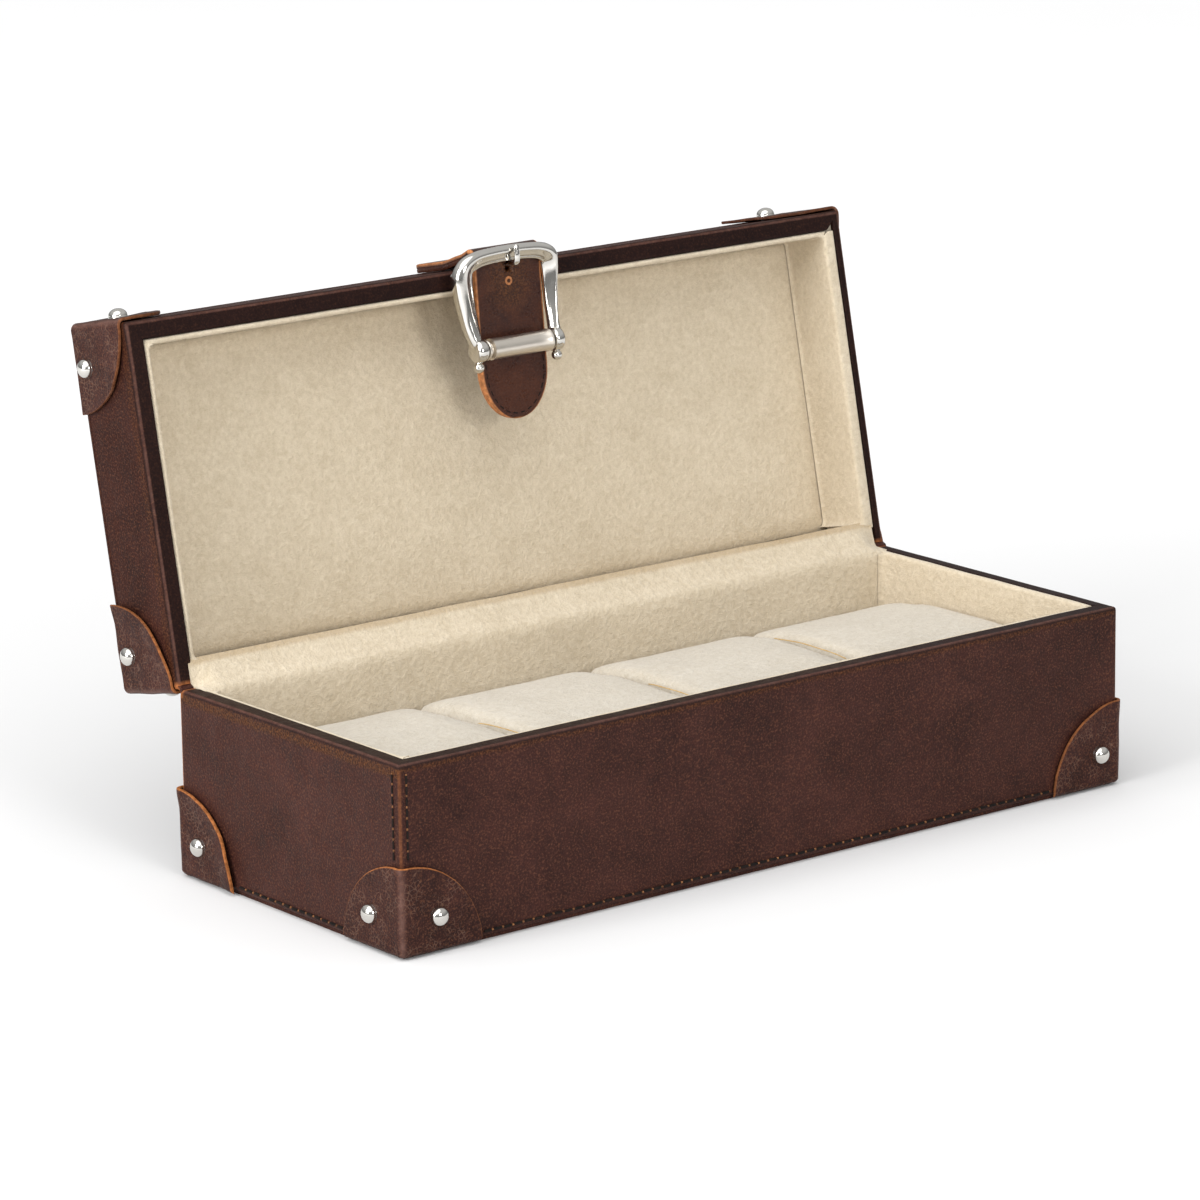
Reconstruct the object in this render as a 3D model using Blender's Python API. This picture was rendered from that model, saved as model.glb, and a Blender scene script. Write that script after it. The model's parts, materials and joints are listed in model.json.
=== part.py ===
"""Leather watch box with a hinged lid, a buckled closing strap and four lift-out watch cushions.

Metres, +Z up. The origin is the centre of the base's underside, with the front at -Y. The lid stands open
on its stop, and its pieces are modelled as if it were closed, then turned back about the hinge. The strap's
pieces are modelled as if it hung flat down the closed front, then turned about the strap's own bend.
"""

import math

import bmesh
import bpy
from mathutils import Matrix, Vector

# box
LENGTH = 0.290
DEPTH = 0.115
BASE_HEIGHT = 0.060
LID_HEIGHT = 0.030
LID_OPEN = math.radians(101.7)
GAP = 0.0003

# layers of a wall, from the outside in
LEATHER = 0.0012
BOARD = 0.0047
LINING = 0.0015
BOARD_OUT = LEATHER + GAP
BOARD_IN = BOARD_OUT + BOARD
LINING_OUT = BOARD_IN + GAP
WALL = LINING_OUT + LINING
RIM_ROUND = 0.0020
FLOOR_CLEAR = 0.0002
BASE_BOARD = 0.0040

# lid
LID_RIM = BASE_HEIGHT + GAP
LID_TOP = LID_RIM + LID_HEIGHT - GAP
TOP_LEATHER = 0.0015
LID_RECESS = 0.0205
PANEL = 0.0034
HINGE = Vector((0.0, DEPTH / 2, BASE_HEIGHT))

# corner patches and rivets
PATCH = 0.0012
BASE_PATCH_REACH = 0.0285
LID_PATCH_REACH = 0.0275
PATCH_LEVELS = 9
RIVET_RADIUS = 0.00325
RIVET_HEIGHT = 0.0026
RIVET_LIFT = 2 * GAP + PATCH
RIVET_RISE = 0.0117
LID_RIVET_DROP = 0.0062
RIVET_SIDES = 16
DOME_LEVELS = (0.0, 0.28, 0.55, 0.78, 0.94)

# how far each rivet is from its corner, as (on the long wall, on the end wall)
BASE_RIVET_INSETS = {
    "front_left": (0.0127, 0.0143),
    "back_left": (0.0127, 0.0103),
    "front_right": (0.0085, 0.0143),
    "back_right": (0.0127, 0.0103),
}
LID_RIVET_INSETS = {
    "front_left": (0.0130, 0.0130),
    "back_left": (0.0130, 0.0110),
    "front_right": (0.0130, 0.0130),
    "back_right": (0.0130, 0.0110),
}

# cushions
CUSHIONS = 4
CUSHION_PITCH = 0.0684
CUSHION_HALF = 0.0339
CUSHION_DEPTH_HALF = 0.0475
CUSHION_TOP = 0.0495
CUSHION_SIDES = 28
CUSHION_SQUARENESS = 2.5
CUSHION_CLEAR = 0.0005
CUSHION_SECTIONS = (
    (-1.0, 0.88),
    (-0.96, 0.95),
    (-0.85, 0.975),
    (-0.4, 1.0),
    (0.4, 1.0),
    (0.85, 0.975),
    (0.96, 0.95),
    (1.0, 0.88),
)

# strap, measured down the flap (down) and away from the wall (out) from its bend
BEND = Vector((0.0, -DEPTH / 2 - 0.0029, BASE_HEIGHT - 0.0047))
STRAP_REST = math.radians(96.7)
STRAP_X = -0.0022
STRAP_HALF = 0.0133
STRAP_LENGTH = 0.0533
STRAP_BACK = (0.0, 0.0015)
STRAP_FRONT = (0.0018, 0.0031)
TIP_LENGTH = 0.0165
TIP_STEPS = 12
BACK_LAYER_TOP = 0.0014
BEND_BEAD = 0.0010
SLOT = (0.0020, 0.0080)
SLOT_HALF = 0.0018
ROOT_THICK = 0.0029
ROOT_TOP = 0.0850
ROOT_BOTTOM = 0.0596
ROOT_KNEE = 0.0700
ROOT_RISE = 0.0015

# buckle
BUCKLE_X = -0.0030
BAR_DOWN = 0.0055
BAR_OUT = -0.0012
BAR_RADIUS = 0.0008
ROLLER_DOWN = 0.0290
ROLLER_OUT = 0.0067
ROLLER_RADIUS = 0.0032
ROLLER_HALF = 0.0130
ROLLER_COLLAR = 0.0003
ROLLER_COLLAR_WIDTH = 0.0016
ROLLER_CHAMFER = 0.0004
ROLLER_SIDES = 24
PIN_RADIUS = 0.0012
BAR_HALF = 0.0178
LUG_ACROSS = (0.0160, 0.0192)
LUG_OUT = 0.0035
LUG_IN = 0.0011
LUG_HALF = 0.0016
EYE_ACROSS = (0.0136, 0.0166)
PIN_EYE_RADIUS = 0.0036
FOOT_ACROSS = 0.0151
FOOT_DROP = 0.0048
FOOT_RADIUS = 0.0019
PRONG_HALF = 0.0011
PRONG_EYE_RADIUS = 0.0014
PRONG_EYE_CLEAR = 0.00015
FRAME_SIDES = 12

# half of the frame's centre line, as (x, down, out, half width, half depth), from the top bar's middle
FRAME_HALF = (
    (0.0000, -0.0010, 0.0056, 0.0026, 0.0016),
    (0.0070, -0.0008, 0.0056, 0.0026, 0.0016),
    (0.0130, -0.0001, 0.0054, 0.0027, 0.0018),
    (0.0172, 0.0016, 0.0048, 0.0030, 0.0024),
    (0.0187, 0.0050, 0.0040, 0.0030, 0.0029),
    (0.0185, 0.0100, 0.0040, 0.0028, 0.0028),
    (0.0176, 0.0170, 0.0046, 0.0024, 0.0026),
    (0.0169, 0.0230, 0.0056, 0.0020, 0.0024),
    (0.0165, 0.0272, 0.0065, 0.0018, 0.0022),
    (0.0152, 0.0288, 0.0067, 0.0014, 0.0016),
    (0.0136, 0.0290, 0.0067, 0.0012, 0.0012),
    (0.0060, 0.0290, 0.0067, 0.0012, 0.0012),
)

# the prong's outline from its eye, as (down, out): the front of its shank and tip, then their back
PRONG_FRONT = ((-0.0015, 0.0060), (-0.0018, 0.0086), (-0.0034, 0.0105), (-0.0090, 0.0105))
PRONG_BACK = ((-0.0094, 0.0090), (-0.0044, 0.0090), (-0.0035, 0.0076), (-0.0034, 0.0060), (-0.0026, 0.0025))

# closing magnet in the strap and its steel plate in the base
MAGNET_DOWN = 0.0420
MAGNET_RADIUS = 0.0060
MAGNET_OUT = (0.0007, 0.0015)
PLATE_RADIUS = 0.0070
PLATE_THICK = 0.0010
DISC_SIDES = 24

FINISHES = {
    "leather": ((0.052, 0.019, 0.014), 0.42, 0.0),
    "board": ((0.30, 0.26, 0.20), 0.90, 0.0),
    "lining": ((0.66, 0.56, 0.42), 0.95, 0.0),
    "cushion": ((0.78, 0.70, 0.58), 0.95, 0.0),
    "nickel": ((0.72, 0.71, 0.68), 0.18, 1.0),
    "steel": ((0.50, 0.50, 0.50), 0.35, 1.0),
}


def clear_scene():
    for item in list(bpy.data.objects):
        bpy.data.objects.remove(item, do_unlink=True)


def finish_material(name, finish):
    colour, roughness, metallic = FINISHES[finish]
    made = bpy.data.materials.new(name)
    made.use_nodes = True
    shader = made.node_tree.nodes["Principled BSDF"]
    shader.inputs["Base Color"].default_value = (*colour, 1.0)
    shader.inputs["Roughness"].default_value = roughness
    shader.inputs["Metallic"].default_value = metallic
    return made


def add_pivot(name, place, turn, parent=None):
    pivot = bpy.data.objects.new(name, None)
    bpy.context.scene.collection.objects.link(pivot)
    pivot.parent = parent
    pivot.location = place
    pivot.rotation_euler = (turn, 0.0, 0.0)
    return pivot


def add_piece(name, shape, finish, parent=None, place=(0.0, 0.0, 0.0), smooth=False):
    """Turns a bmesh into a named object, under a pivot where it moves."""
    bmesh.ops.recalc_face_normals(shape, faces=shape.faces[:])
    mesh = bpy.data.meshes.new(name)
    shape.to_mesh(mesh)
    shape.free()
    if smooth:
        mesh.shade_smooth()
        mesh.set_sharp_from_angle(angle=math.radians(40.0))
    piece = bpy.data.objects.new(name, mesh)
    piece.data.materials.append(finish_material(name, finish))
    bpy.context.scene.collection.objects.link(piece)
    piece.parent = parent
    piece.location = place
    return piece


def apply_boolean(piece, tool, operation):
    """Cuts a tool from a piece or adds it on; the tool itself is only a guide."""
    tool.hide_render = True
    tool.display_type = "WIRE"
    step = piece.modifiers.new(tool.name, "BOOLEAN")
    step.object = tool
    step.operation = operation
    step.solver = "EXACT"


def loft(shape, rings, loop=False):
    """Skins a run of rings of equal length, capping the two ends unless the run is a loop."""
    rows = [[shape.verts.new(point) for point in ring] for ring in rings]
    pairs = list(zip(rows, rows[1:]))
    if loop:
        pairs.append((rows[-1], rows[0]))
    else:
        shape.faces.new(rows[0])
        shape.faces.new(rows[-1])
    count = len(rows[0])
    for near, far in pairs:
        for i in range(count):
            j = (i + 1) % count
            shape.faces.new((near[i], near[j], far[j], far[i]))
    return shape


def block(low, high):
    """A rectangular plate between two corners."""
    outline = ((low[0], low[1]), (high[0], low[1]), (high[0], high[1]), (low[0], high[1]))
    rings = [[Vector((x, y, z)) for x, y in outline] for z in (low[2], high[2])]
    return loft(bmesh.new(), rings)


def rod(radius, ends, down, out, sides=16):
    """A round bar along X between two ends, in the strap's frame."""
    rings = []
    for x in ends:
        ring = []
        for i in range(sides):
            a = math.tau * i / sides
            ring.append(Vector((x, -out + radius * math.cos(a), -down + radius * math.sin(a))))
        rings.append(ring)
    return loft(bmesh.new(), rings)


def arc(centre, radius, start, end, steps):
    """Points on an arc of a 2-D outline, with angles in degrees."""
    angles = [math.radians(start + (end - start) * i / steps) for i in range(steps + 1)]
    return [(centre[0] + radius * math.cos(a), centre[1] + radius * math.sin(a)) for a in angles]


# walls: an outline of (inset from the outer face, distance from the rim), with mitred ends


SIDES = {
    "front": (0.0, (0.0, -DEPTH / 2), LENGTH),
    "right": (90.0, (LENGTH / 2, 0.0), DEPTH),
    "back": (180.0, (0.0, DEPTH / 2), LENGTH),
    "left": (270.0, (-LENGTH / 2, 0.0), DEPTH),
}


def wall_shape(side, outline, rim, away):
    """Runs an outline along one side of the box, from mitre to mitre."""
    turn, centre, run = SIDES[side]
    place = Matrix.Translation((*centre, 0.0)) @ Matrix.Rotation(math.radians(turn), 4, "Z")
    rings = []
    for end in (-1, 1):
        ring = []
        for inset, reach in outline:
            x = end * (run / 2 - inset - GAP)
            ring.append(place @ Vector((x, inset, rim + away * reach)))
        rings.append(ring)
    return loft(bmesh.new(), rings)


def leather_outline(reach):
    """A skin that turns over the rim and covers the board's edge."""
    outer_corner = arc((RIM_ROUND, RIM_ROUND), RIM_ROUND, 180.0, 270.0, 4)
    rim = [(BOARD_IN, 0.0), (BOARD_IN, LEATHER), (LEATHER, LEATHER)]
    return [(0.0, reach)] + outer_corner + rim + [(LEATHER, reach)]


def plain_outline(outer, inner, near, far):
    return [(outer, near), (inner, near), (inner, far), (outer, far)]


def lining_outline(reach):
    """A lining with a rolled top edge."""
    roll = LINING / 2
    top = arc((LINING_OUT + roll, roll + FLOOR_CLEAR), roll, 180.0, 360.0, 6)
    return top + [(WALL, reach), (LINING_OUT, reach)]


def hinge_lining_outline(reach):
    """A lining that turns over the whole rim, out to the hinge line."""
    rim = [(GAP, 0.0), (WALL, 0.0)]
    return rim + [(WALL, reach), (LINING_OUT, reach), (LINING_OUT, LEATHER), (GAP, LEATHER)]


def add_walls(prefix, rim, away, leather_reach, lining_reach, parent, place):
    """The leather and the lining of four walls; at the back the lining turns over the rim to the hinge."""
    for side in SIDES:
        if side == "back":
            skin = plain_outline(0.0, LEATHER, BOARD_OUT, leather_reach)
            lining = hinge_lining_outline(lining_reach)
        else:
            skin = leather_outline(leather_reach)
            lining = lining_outline(lining_reach)
        for layer, outline in (("leather", skin), ("lining", lining)):
            shape = wall_shape(side, outline, rim, away)
            add_piece(f"{prefix}_{layer}_{side}", shape, layer, parent, place)


def tray_shape(outer_z, edge_z, inner_z):
    """The stiff board folded up into a tray: a floor between outer_z and inner_z, and four walls."""
    rings = []
    for inset, z in ((BOARD_OUT, outer_z), (BOARD_OUT, edge_z), (BOARD_IN, edge_z), (BOARD_IN, inner_z)):
        x = LENGTH / 2 - inset
        y = DEPTH / 2 - inset
        rings.append([Vector((-x, -y, z)), Vector((x, -y, z)), Vector((x, y, z)), Vector((-x, y, z))])
    return loft(bmesh.new(), rings)


# corner patches and rivets


def patch_shape(side_x, side_y, level, away, reach):
    """A quarter disc of leather folded round a corner: its arms shorten with height like a circle."""
    inner = -GAP
    outer = -GAP - PATCH
    rings = []
    for step in range(PATCH_LEVELS):
        rise = reach * math.sin(math.radians(86.0) * step / (PATCH_LEVELS - 1))
        arm = math.sqrt(reach**2 - rise**2)
        fold = arc((0.0, 0.0), -outer, 270.0, 180.0, 4)
        ring = [(arm, inner), (arm, outer)] + fold + [(outer, arm), (inner, arm), (inner, inner)]
        z = level + away * (rise + FLOOR_CLEAR)
        rings.append([Vector((side_x * (LENGTH / 2 - x), side_y * (DEPTH / 2 - y), z)) for x, y in ring])
    return loft(bmesh.new(), rings)


def add_patches(prefix, level, away, reach, parent, place):
    for side_x, across in ((-1, "left"), (1, "right")):
        for side_y, along in ((-1, "front"), (1, "back")):
            shape = patch_shape(side_x, side_y, level, away, reach)
            add_piece(f"{prefix}_patch_{along}_{across}", shape, "leather", parent, place, smooth=True)


def dome_shape(centre, outward):
    """A domed rivet head standing on a face."""
    rise = outward.orthogonal().normalized()
    across = outward.cross(rise)
    rings = []
    for level in DOME_LEVELS:
        radius = RIVET_RADIUS * math.sqrt(1.0 - level**2)
        angles = (math.tau * i / RIVET_SIDES for i in range(RIVET_SIDES))
        foot = centre + outward * RIVET_HEIGHT * level
        rings.append([foot + radius * (rise * math.cos(a) + across * math.sin(a)) for a in angles])
    return loft(bmesh.new(), rings)


def add_rivets(prefix, z, insets, parent, place):
    """Two rivets on each corner patch, one on the long wall and one on the end wall."""
    for corner, (inset_long, inset_end) in insets.items():
        side_x = -1 if corner.endswith("left") else 1
        side_y = -1 if corner.startswith("front") else 1
        on_long = Vector((side_x * (LENGTH / 2 - inset_long), side_y * (DEPTH / 2 + RIVET_LIFT), z))
        on_end = Vector((side_x * (LENGTH / 2 + RIVET_LIFT), side_y * (DEPTH / 2 - inset_end), z))
        long_dome = dome_shape(on_long, Vector((0.0, side_y, 0.0)))
        add_piece(f"{prefix}_rivet_{corner}_long", long_dome, "nickel", parent, place, smooth=True)
        end_dome = dome_shape(on_end, Vector((side_x, 0.0, 0.0)))
        add_piece(f"{prefix}_rivet_{corner}_end", end_dome, "nickel", parent, place, smooth=True)


# box halves


def add_base():
    place = (0.0, 0.0, 0.0)
    board_low = LEATHER + GAP
    board_high = board_low + BASE_BOARD
    floor_low = board_high + GAP
    lining_reach = BASE_HEIGHT - floor_low - LINING - GAP
    add_walls("base", BASE_HEIGHT, -1, BASE_HEIGHT - FLOOR_CLEAR, lining_reach, None, place)
    half_x = LENGTH / 2 - BOARD_OUT
    half_y = DEPTH / 2 - BOARD_OUT
    add_piece("base_leather_bottom", block((-half_x, -half_y, 0.0), (half_x, half_y, LEATHER)), "leather")
    add_piece("base_board_tray", tray_shape(board_low, BASE_HEIGHT - BOARD_OUT, board_high), "board")
    half_x = LENGTH / 2 - LINING_OUT
    half_y = DEPTH / 2 - LINING_OUT
    floor = block((-half_x, -half_y, floor_low), (half_x, half_y, floor_low + LINING))
    add_piece("base_lining_floor", floor, "lining")
    add_patches("base", 0.0, 1, BASE_PATCH_REACH, None, place)
    add_rivets("base", RIVET_RISE, BASE_RIVET_INSETS, None, place)
    add_closing_plate()


def add_closing_plate():
    """The steel plate in the front board that the strap's magnet pulls on."""
    height = BEND.z - MAGNET_DOWN
    front = -DEPTH / 2 + BOARD_OUT
    pocket = disc(PLATE_RADIUS + GAP, front - PLATE_THICK, front + PLATE_THICK + 2 * GAP, height)
    pocket_tool = add_piece("pocket_tool", pocket, "board")
    apply_boolean(bpy.data.objects["base_board_tray"], pocket_tool, "DIFFERENCE")
    plate = disc(PLATE_RADIUS, front + GAP, front + GAP + PLATE_THICK, height)
    add_piece("closing_plate", plate, "steel", smooth=True)


def disc(radius, near, far, height):
    """A round plate facing along Y, on the strap's centre line."""
    rings = []
    for y in (near, far):
        ring = []
        for i in range(DISC_SIDES):
            a = math.tau * i / DISC_SIDES
            ring.append(Vector((STRAP_X + radius * math.cos(a), y, height + radius * math.sin(a))))
        rings.append(ring)
    return loft(bmesh.new(), rings)


def add_lid(pivot):
    place = -HINGE
    leather_top = LID_TOP - TOP_LEATHER
    leather_reach = leather_top - GAP - LID_RIM
    top_board_low = LID_RIM + LID_RECESS + PANEL + GAP
    lining_reach = LID_RECESS - GAP
    add_walls("lid", LID_RIM, 1, leather_reach, lining_reach, pivot, place)

    rings = []
    for inset, z in ((0.0, leather_top), (0.0, LID_TOP - 0.0009), (0.0009, LID_TOP)):
        x = LENGTH / 2 - inset
        y = DEPTH / 2 - inset
        rings.append([Vector((-x, -y, z)), Vector((x, -y, z)), Vector((x, y, z)), Vector((-x, y, z))])
    add_piece("lid_leather_top", loft(bmesh.new(), rings), "leather", pivot, place)
    board = tray_shape(leather_top - GAP, LID_RIM + BOARD_OUT, top_board_low)
    add_piece("lid_board_tray", board, "board", pivot, place)
    half_x = LENGTH / 2 - LINING_OUT
    half_y = DEPTH / 2 - LINING_OUT
    panel_low = LID_RIM + LID_RECESS
    panel = block((-half_x, -half_y, panel_low), (half_x, half_y, panel_low + PANEL))
    add_piece("lid_panel_padded", panel, "lining", pivot, place)
    add_patches("lid", LID_TOP, -1, LID_PATCH_REACH, pivot, place)
    add_rivets("lid", LID_TOP - LID_RIVET_DROP, LID_RIVET_INSETS, pivot, place)
    add_strap_root(pivot, place)


def add_strap_root(pivot, place):
    """The strap's sewn end on the lid's front wall, rising towards the rim."""
    wall = -DEPTH / 2 - GAP
    inner = [(wall, ROOT_TOP), (wall, ROOT_KNEE), (wall - ROOT_RISE, ROOT_BOTTOM)]
    outer = [(y - ROOT_THICK, z) for y, z in reversed(inner)]
    edges = (STRAP_X - STRAP_HALF, STRAP_X + STRAP_HALF)
    rings = [[Vector((x, y, z)) for y, z in inner + outer] for x in edges]
    add_piece("strap_root", loft(bmesh.new(), rings), "leather", pivot, place)


# strap


def strap_layer(top, outs):
    """One layer of the flap: a straight band with a rounded tip."""
    shoulder = STRAP_LENGTH - TIP_LENGTH
    outline = [(-STRAP_HALF, top)]
    for i in range(TIP_STEPS + 1):
        a = math.pi * i / TIP_STEPS
        outline.append((-STRAP_HALF * math.cos(a), shoulder + TIP_LENGTH * math.sin(a)))
    outline.append((STRAP_HALF, top))
    rings = [[Vector((STRAP_X + x, -out, -down)) for x, down in outline] for out in outs]
    return loft(bmesh.new(), rings)


def add_strap(pivot):
    back = add_piece("strap_back", strap_layer(BACK_LAYER_TOP, STRAP_BACK), "leather", pivot)
    front = add_piece("strap_front", strap_layer(0.0, STRAP_FRONT), "leather", pivot)
    low = (STRAP_X - SLOT_HALF, -STRAP_FRONT[1] - 0.001, -SLOT[1])
    slot_tool = add_piece("slot_tool", block(low, (STRAP_X + SLOT_HALF, 0.001, -SLOT[0])), "leather", pivot)
    apply_boolean(back, slot_tool, "DIFFERENCE")
    apply_boolean(front, slot_tool, "DIFFERENCE")
    pocket = disc(MAGNET_RADIUS + GAP, -MAGNET_OUT[0] + GAP, -STRAP_BACK[1] - 0.001, -MAGNET_DOWN)
    magnet_tool = add_piece("magnet_tool", pocket, "leather", pivot)
    apply_boolean(back, magnet_tool, "DIFFERENCE")
    magnet = disc(MAGNET_RADIUS, -MAGNET_OUT[0], -MAGNET_OUT[1], -MAGNET_DOWN)
    add_piece("strap_magnet", magnet, "steel", pivot, smooth=True)


def add_strap_bend(pivot):
    bead = rod(BEND_BEAD, (STRAP_X - STRAP_HALF, STRAP_X + STRAP_HALF), 0.0, 0.0, sides=12)
    add_piece("strap_bend", bead, "leather", pivot, smooth=True)


# buckle


def frame_stations():
    right = [Vector(row[:3]) for row in FRAME_HALF]
    sizes = [row[3:] for row in FRAME_HALF]
    left = [Vector((-p.x, p.y, p.z)) for p in right[:0:-1]]
    return right + left, sizes + sizes[:0:-1]


def catmull(before, here, after, later, t):
    """A point on a smooth curve through a run of values."""
    linear = (after - before) * t
    square = (before * 2 - here * 5 + after * 4 - later) * t**2
    cubic = (here * 3 - before - after * 3 + later) * t**3
    return here + (linear + square + cubic) * 0.5


def frame_shape():
    """The cast frame: one loop of oval sections, wide at the top and thin at the roller's pin."""
    points, sizes = frame_stations()
    count = len(points)
    path = []
    for i in range(count):
        near = [points[(i + k - 1) % count] for k in range(4)]
        spans = [Vector(sizes[(i + k - 1) % count]) for k in range(4)]
        path += [(catmull(*near, t), catmull(*spans, t)) for t in (0.0, 0.5)]
    rings = []
    for i, (centre, half) in enumerate(path):
        ahead = path[(i + 1) % len(path)][0] - path[i - 1][0]
        across = Vector((-ahead.y, ahead.x)).normalized()
        ring = []
        for k in range(FRAME_SIDES):
            a = math.tau * k / FRAME_SIDES
            x = BUCKLE_X + centre.x + across.x * half.x * math.cos(a)
            down = centre.y + across.y * half.x * math.cos(a)
            out = centre.z + half.y * math.sin(a)
            ring.append(Vector((x, -out, -down)))
        rings.append(ring)
    return loft(bmesh.new(), rings, loop=True)


def across_buckle(side, span):
    """A span of distances from the buckle's centre line, as x on one side of it, from left to right."""
    return sorted(BUCKLE_X + side * distance for distance in span)


def add_frame(pivot):
    """The cast frame with its centre bar, the bar's two lugs, the pin's two eyes and the ball feet."""
    frame = add_piece("buckle_frame", frame_shape(), "nickel", pivot, smooth=True)
    bar = rod(BAR_RADIUS, (BUCKLE_X - BAR_HALF, BUCKLE_X + BAR_HALF), BAR_DOWN, BAR_OUT)
    apply_boolean(frame, add_piece("bar_tool", bar, "nickel", pivot), "UNION")
    for side in (-1, 1):
        left, right = across_buckle(side, LUG_ACROSS)
        low = (left, -LUG_OUT, -BAR_DOWN - LUG_HALF)
        high = (right, -BAR_OUT + LUG_IN, -BAR_DOWN + LUG_HALF)
        lug = add_piece(f"lug_tool_{side}", block(low, high), "nickel", pivot)
        apply_boolean(frame, lug, "UNION")
        eye = rod(PIN_EYE_RADIUS, across_buckle(side, EYE_ACROSS), ROLLER_DOWN, ROLLER_OUT)
        apply_boolean(frame, add_piece(f"eye_tool_{side}", eye, "nickel", pivot), "UNION")
        foot = bmesh.new()
        centre = Vector((BUCKLE_X + side * FOOT_ACROSS, -ROLLER_OUT, -ROLLER_DOWN - FOOT_DROP))
        ball = Matrix.Translation(centre)
        bmesh.ops.create_icosphere(foot, subdivisions=2, radius=FOOT_RADIUS, matrix=ball)
        apply_boolean(frame, add_piece(f"foot_tool_{side}", foot, "nickel", pivot), "UNION")


def add_roller(pivot):
    """A tube with a collar at each end that turns on the frame's bottom pin."""
    half = ROLLER_HALF
    bore = PIN_RADIUS + GAP
    collar = ROLLER_RADIUS + ROLLER_COLLAR
    lip = half - ROLLER_COLLAR_WIDTH
    waist = lip - ROLLER_CHAMFER
    profile = [(-half, bore), (-half, collar), (-lip, collar), (-waist, ROLLER_RADIUS)]
    profile += [(waist, ROLLER_RADIUS), (lip, collar), (half, collar), (half, bore)]
    rings = []
    for i in range(ROLLER_SIDES):
        a = math.tau * i / ROLLER_SIDES
        rings.append([Vector((x, r * math.cos(a), r * math.sin(a))) for x, r in profile])
    place = (BUCKLE_X, -ROLLER_OUT, -ROLLER_DOWN)
    add_piece("buckle_roller", loft(bmesh.new(), rings, loop=True), "nickel", pivot, place, smooth=True)


def add_prong(pivot):
    """The tongue: an eye round the centre bar, a shank through the strap and a tip over the top bar."""
    eye = arc((0.0, 0.0), PRONG_EYE_RADIUS, -120.0, 130.0, 14)
    outline = eye + list(PRONG_FRONT) + list(PRONG_BACK)
    rings = [[Vector((x, -out, -down)) for down, out in outline] for x in (-PRONG_HALF, PRONG_HALF)]
    place = (STRAP_X, -BAR_OUT, -BAR_DOWN)
    prong = add_piece("buckle_prong", loft(bmesh.new(), rings), "nickel", pivot, place, smooth=True)
    bore = rod(BAR_RADIUS + PRONG_EYE_CLEAR, (-2 * PRONG_HALF, 2 * PRONG_HALF), 0.0, 0.0)
    tool = add_piece("bore_tool", bore, "nickel", pivot, place)
    apply_boolean(prong, tool, "DIFFERENCE")


# cushions


def cushion_shape(centre_x):
    """A padded roll with a flattened oval section that softens towards its ends."""
    low = LEATHER + 2 * GAP + BASE_BOARD + LINING + CUSHION_CLEAR
    middle = (CUSHION_TOP + low) / 2
    half_height = (CUSHION_TOP - low) / 2
    rings = []
    for along, scale in CUSHION_SECTIONS:
        ring = []
        for i in range(CUSHION_SIDES):
            a = math.tau * i / CUSHION_SIDES
            power = 2.0 / CUSHION_SQUARENESS
            y = math.copysign(abs(math.cos(a)) ** power, math.cos(a)) * CUSHION_DEPTH_HALF * scale
            z = math.copysign(abs(math.sin(a)) ** power, math.sin(a)) * half_height * scale
            ring.append(Vector((centre_x + along * CUSHION_HALF, y, middle + z)))
        rings.append(ring)
    return loft(bmesh.new(), rings)


def add_cushions():
    for i in range(CUSHIONS):
        centre_x = (i - (CUSHIONS - 1) / 2) * CUSHION_PITCH
        add_piece(f"cushion_{i + 1}", cushion_shape(centre_x), "cushion", smooth=True)


def main():
    clear_scene()
    add_base()
    add_cushions()
    lid_pivot = add_pivot("lid_pivot", HINGE, -LID_OPEN)
    add_lid(lid_pivot)
    strap_pivot = add_pivot("strap_pivot", BEND - HINGE, STRAP_REST, lid_pivot)
    add_strap_bend(strap_pivot)
    add_strap(strap_pivot)
    add_frame(strap_pivot)
    add_roller(strap_pivot)
    add_prong(strap_pivot)


main()
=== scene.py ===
import json
from math import atan2, copysign, cos, exp, hypot, pi, radians, sin, sqrt, tau

import bmesh
import bpy
import numpy as np
from mathutils import Matrix, Vector, noise


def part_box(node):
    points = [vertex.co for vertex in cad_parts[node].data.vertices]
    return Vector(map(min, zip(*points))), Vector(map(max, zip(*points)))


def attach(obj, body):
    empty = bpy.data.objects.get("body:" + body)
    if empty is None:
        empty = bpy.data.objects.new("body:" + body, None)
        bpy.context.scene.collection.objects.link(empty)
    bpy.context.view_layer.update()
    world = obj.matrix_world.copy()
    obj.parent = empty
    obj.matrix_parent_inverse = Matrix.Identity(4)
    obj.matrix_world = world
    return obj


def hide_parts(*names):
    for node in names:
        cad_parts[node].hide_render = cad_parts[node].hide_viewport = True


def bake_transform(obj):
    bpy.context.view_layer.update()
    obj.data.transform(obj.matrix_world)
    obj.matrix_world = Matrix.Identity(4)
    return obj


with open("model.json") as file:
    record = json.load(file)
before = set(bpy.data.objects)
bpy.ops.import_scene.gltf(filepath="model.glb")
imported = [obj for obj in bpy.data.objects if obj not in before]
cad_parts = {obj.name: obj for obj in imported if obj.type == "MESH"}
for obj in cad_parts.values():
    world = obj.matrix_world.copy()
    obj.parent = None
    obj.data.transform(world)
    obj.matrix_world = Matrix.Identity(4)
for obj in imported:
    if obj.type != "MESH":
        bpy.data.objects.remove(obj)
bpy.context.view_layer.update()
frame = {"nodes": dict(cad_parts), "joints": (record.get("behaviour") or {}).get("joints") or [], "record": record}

# ---------------------------------------------------------------- sizes and frames

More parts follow.
